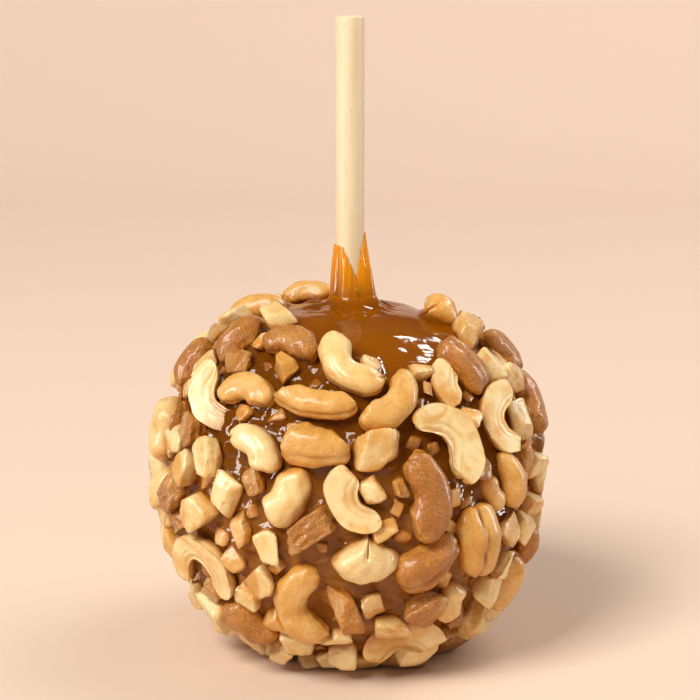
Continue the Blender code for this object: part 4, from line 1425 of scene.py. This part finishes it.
def cashew_finish(name, grain):
    """A nut's finish; grain is how rough its surface is, in metres."""
    finish = Finish(name, Coat_Weight=0.35, Coat_Roughness=0.16, IOR=1.42,
                    Subsurface_Weight=0.1, Subsurface_Radius=(1.0, 0.5, 0.2), Subsurface_Scale=0.0009)
    patches = finish.noise(0.006, 3, warp=0.6)
    fine = finish.noise(0.0009, 3, roughness=0.6)
    level = finish.look("tone") + 0.55 * (patches - 0.5) + 0.25 * (fine - 0.5)
    colour = finish.add("ShaderNodeValToRGB", {"stops": ROAST}, {"Fac": level}, "Color")
    cut = finish.look("cut")
    inside = finish.blend(finish.over(patches, 0.35, 0.7), tint("FBE6B0"), tint("EFC87E"))
    colour = finish.blend(cut * 0.85, colour, inside)
    edge = finish.look("rim") * finish.over(finish.noise(0.003, 2), 0.36, 0.56)
    colour = finish.blend(edge * 0.75, colour, tint("D8902E"))
    # Painted shade in the seam, the groove and the channel.
    colour = finish.blend(finish.look("seam") * 0.55, colour, tint("8E4A14"))
    blots = finish.over(finish.noise(0.006, 2, warp=0.5), 0.52, 0.72)
    colour = finish.blend(0.5 * blots, colour, tint("DDA04A"))
    # Low down the nut is painted golden and then dark brown: partly the real caramel glaze at its foot,
    # partly painted shade on its lower sides.
    low = finish.look("rise") + 3.0 * (finish.noise(0.004, 2) - 0.5)
    colour = finish.blend(0.7 * finish.over(low, 4.0, 1.8), colour, tint("D48C2C"))
    wet_and_shade = finish.over(low, 2.4, 0.8)
    colour = finish.blend(0.85 * wet_and_shade, colour, tint("90500A"))
    salted = finish.look("salt") * finish.over(finish.noise(0.004, 1), 0.30, 0.55)
    grains = finish.over(finish.specks(0.0004) + 0.5 * finish.noise(0.0016, 2), 0.62, 0.36)
    grains = grains * salted * (1 - wet_and_shade) * (1 - cut)
    # Dark pits painted on the salted skin: painted shade in its small pits.
    pit_shade = finish.over(finish.noise(0.0007, 2), 0.54, 0.68) * finish.look("salt") * (1 - cut)
    colour = finish.blend(0.45 * pit_shade, colour, tint("8A4C16"))
    colour = finish.blend(0.42 * grains, colour, tint("F4D8A4"))
    finish.to_shader(Base_Color=colour)
    finish.to_shader(Roughness=0.34 + 0.2 * fine - 0.26 * wet_and_shade - 0.06 * cut)
    lumps = finish.noise(0.0011, 3, roughness=0.7) * finish.look("salt")
    streaks = finish.noise(0.0005, 2)
    finish.bump(0.6 * fine + 0.6 * patches + 0.9 * grains + 4.0 * lumps + 0.5 * streaks, grain)
    return finish.material


# %% [markdown]
# ## Birch
# Birch is nearly white with a faint straight grain. Noise stretched along the stick gives the
# fibres, and short dark streaks are its pores.

# %% Birch finish


def birch_finish():
    finish = Finish("birch", Roughness=0.55, Subsurface_Weight=0.08, Subsurface_Scale=0.001)
    fibres = finish.noise(0.0006, 3, stretch=(1, 1, 0.03))
    bands = finish.noise(0.0035, 2, stretch=(1, 1, 0.12))
    pores = finish.over(finish.noise(0.0003, 1, stretch=(1, 1, 0.08)), 0.70, 0.78)
    colour = finish.blend(fibres * 0.55, tint("F3E3C4"), tint("E0C697"))
    colour = finish.blend(0.4 * finish.over(bands, 0.45, 0.7), colour, tint("E8CC98"))
    colour = finish.blend(0.35 * pores, colour, tint("B58A55"))
    finish.to_shader(Base_Color=colour)
    finish.bump(fibres - 0.8 * pores, 0.00006)
    return finish.material


print("finishes ready")

# %% [markdown]
# ## Dressing the frame
# Each piece rides on the model's one body and gets its finish, and the solids that it stands for are
# hidden.

PIECE_NODES = {
    "cashews_whole": "cashew_whole",
    "cashews_half": "cashew_half",
    "cashews_split": "cashew_split",
    "cashews_broken": "cashew_broken",
    "cashew_chunks": "cashew_chunk",
    "caramel_coat": "coated_apple",
    "birch_stick": "stick",
}
caramel = caramel_finish()
birch = birch_finish()
smooth_nut = cashew_finish("cashew_skin", 0.00013)
rough_nut = cashew_finish("cashew_cut", 0.00022)
looks = {"caramel_coat": caramel, "birch_stick": birch, "cashew_chunks": rough_nut,
         "chopped_nuts": rough_nut, "fine_chips": rough_nut, "nut_crumbs": rough_nut}
for name, piece in pieces.items():
    piece.data.materials.append(looks.get(name, smooth_nut))
    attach(piece, "root")
    start = PIECE_NODES.get(name)
    nodes = [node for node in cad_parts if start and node.startswith(start)]
    if nodes:
        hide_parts(*sorted(nodes))
    print(name, "stands for", len(nodes), "solids")

# %% [markdown]
# ## The studio
# The apple stands on a peach paper sweep that curves up behind it, so that no horizon shows. Its
# line is a floor, a quarter circle and a wall.

# %% The sweep
SWEEP_WIDE = 3.4
SWEEP_FRONT = -1.8
SWEEP_BACK = 0.9  # where the curve begins
SWEEP_CURVE = 0.6  # and its radius
SWEEP_HIGH = 0.9


def sweep_profile():
    """The sweep's line from front to back and up: a floor, a quarter circle and a wall."""
    turn = np.linspace(0, math.pi / 2, 24)
    floor_line = [(y, 0) for y in np.linspace(SWEEP_FRONT, SWEEP_BACK, 12)[:-1]]
    bend = list(zip(SWEEP_BACK + SWEEP_CURVE * np.sin(turn), SWEEP_CURVE * (1 - np.cos(turn))))
    wall = [(SWEEP_BACK + SWEEP_CURVE, z) for z in np.linspace(SWEEP_CURVE, SWEEP_HIGH, 5)[1:]]
    return np.array(floor_line + bend + wall)


line = sweep_profile()
across = np.linspace(-SWEEP_WIDE / 2, SWEEP_WIDE / 2, 12)
sheet = np.stack(np.broadcast_arrays(across[None, :], line[:, :1], line[:, 1:]), axis=-1)
row, side = np.meshgrid(np.arange(len(line) - 1), np.arange(len(across) - 1), indexing="ij")
here = row * len(across) + side
after = here + len(across)
sweep_faces = np.stack([here, here + 1, after + 1, after], axis=-1).reshape(-1, 4)
sweep = mesh_object("paper_sweep", sheet.reshape(-1, 3), sweep_faces, np.zeros((0, 3), int))
paper = Finish("peach_paper", Roughness=0.85, Specular_IOR_Level=0.0)
# The paper is painted a little darker in front, where the light is nearest, and lighter up the wall
# behind: painted shade and painted light that even out how the lights fall on it.
depth = paper.add("ShaderNodeSeparateXYZ", {}, {"Vector": paper.place()}, "Y")
ground = paper.blend(paper.noise(0.4, 2), tint("ECD4C2"), tint("EED8C7"))
paper.to_shader(Base_Color=paper.blend(paper.over(depth, -0.2, 1.6), ground, tint("F6DDCD")))
paper.bump(paper.noise(0.0012, 3), 0.00003)
sweep.data.materials.append(paper.material)

# %% [markdown]
# ## Lights and camera
# A large soft light stands high on the left in front. A larger and weaker one, high on the right
# behind, only lights what is matt, and the narrow cards are only seen in what is shiny. The room
# is bright and warm, but it mirrors darker than it lights. Aiming is the same for all of these and
# for the camera: an object's -Z axis is turned to a target.

# %% Lights, camera and the last line
CAMERA_AT = (0, -0.4709, 0.1672)
CAMERA_AIM = (0, 0, 0.0740)
CAMERA_LENS = 101.2
KEY_AT = (-0.95, -1.20, 1.55)
KEY_AIM = (0, 0, 0.05)
KEY_WIDE = 0.85
KEY_WATTS = 44
KEY_COLOUR = (1.0, 0.955, 0.87)
FILL_AT = (1.0, 0.35, 1.4)
FILL_AIM = (0.1, 0.3, 0)
FILL_WIDE = 1.2
FILL_WATTS = 13
FILL_COLOUR = (1.0, 0.96, 0.89)
# Where the cards stand, how wide and high they are, and how many watts they give.
CARDS = {
    "card_high_1": ((0.94, 0.53, 1.27), 0.13, 0.36, 4.5),
    "card_high_2": ((0.79, 0.70, 1.27), 0.13, 0.36, 4.5),
    "card_high_3": ((0.64, 0.87, 1.27), 0.13, 0.36, 4.5),
    "card_left": ((-0.50, -0.24, 0.20), 0.12, 0.40, 3.5),
    "card_right": ((0.56, 0.05, 0.20), 0.12, 0.40, 3.0),
}
CARD_AIM = (0, 0, 0.09)
CARD_COLOUR = (1.0, 0.98, 0.94)
ROOM_COLOUR = (1.0, 0.955, 0.88)
ROOM_LIGHT = 0.23
ROOM_MIRRORED = 0.10


def aimed(obj, at, target):
    """Puts an object at a place and turns its -Z axis to a target."""
    obj.location = at
    obj.rotation_euler = (Vector(target) - Vector(at)).to_track_quat("-Z", "Y").to_euler()
    bpy.context.scene.collection.objects.link(obj)
    return obj


def softbox(name, at, target, wide, high, watts, colour):
    """An area light, wide across and high upwards."""
    light = bpy.data.lights.new(name, "AREA")
    light.shape = "RECTANGLE"
    light.size = wide
    light.size_y = high
    light.energy = watts
    light.color = colour
    return aimed(bpy.data.objects.new(name, light), at, target)


softbox("key", KEY_AT, KEY_AIM, KEY_WIDE, KEY_WIDE, KEY_WATTS, KEY_COLOUR)
fill_light = softbox("fill", FILL_AT, FILL_AIM, FILL_WIDE, FILL_WIDE, FILL_WATTS, FILL_COLOUR)
fill_light.visible_glossy = False
for name, (at, wide, high, watts) in CARDS.items():
    card = softbox(name, at, CARD_AIM, wide, high, watts, CARD_COLOUR)
    card.visible_diffuse = False
world = bpy.data.worlds.new("studio")
world.use_nodes = True
bpy.context.scene.world = world
room = Tree(world.node_tree)
background = room.nodes["Background"]
mirrored = room.add("ShaderNodeLightPath", {}, {}, "Is Glossy Ray")
seen = room.add("ShaderNodeLightPath", {}, {}, "Is Camera Ray")
strength = ROOM_LIGHT + (ROOM_MIRRORED - ROOM_LIGHT) * mirrored
room.join(strength + seen * (1 - strength), background.inputs["Strength"])
# Seen past the paper's edges, the room has the paper's colour.
room.join(room.blend(seen, ROOM_COLOUR, tint("F2D2BA")), background.inputs["Color"])
bpy.context.scene.view_settings.view_transform = "Standard"

camera = bpy.data.cameras.new("camera")
camera.lens = CAMERA_LENS
camera.sensor_width = 36
camera.clip_start = 0.01
bpy.context.scene.camera = aimed(bpy.data.objects.new("camera", camera), CAMERA_AT, CAMERA_AIM)
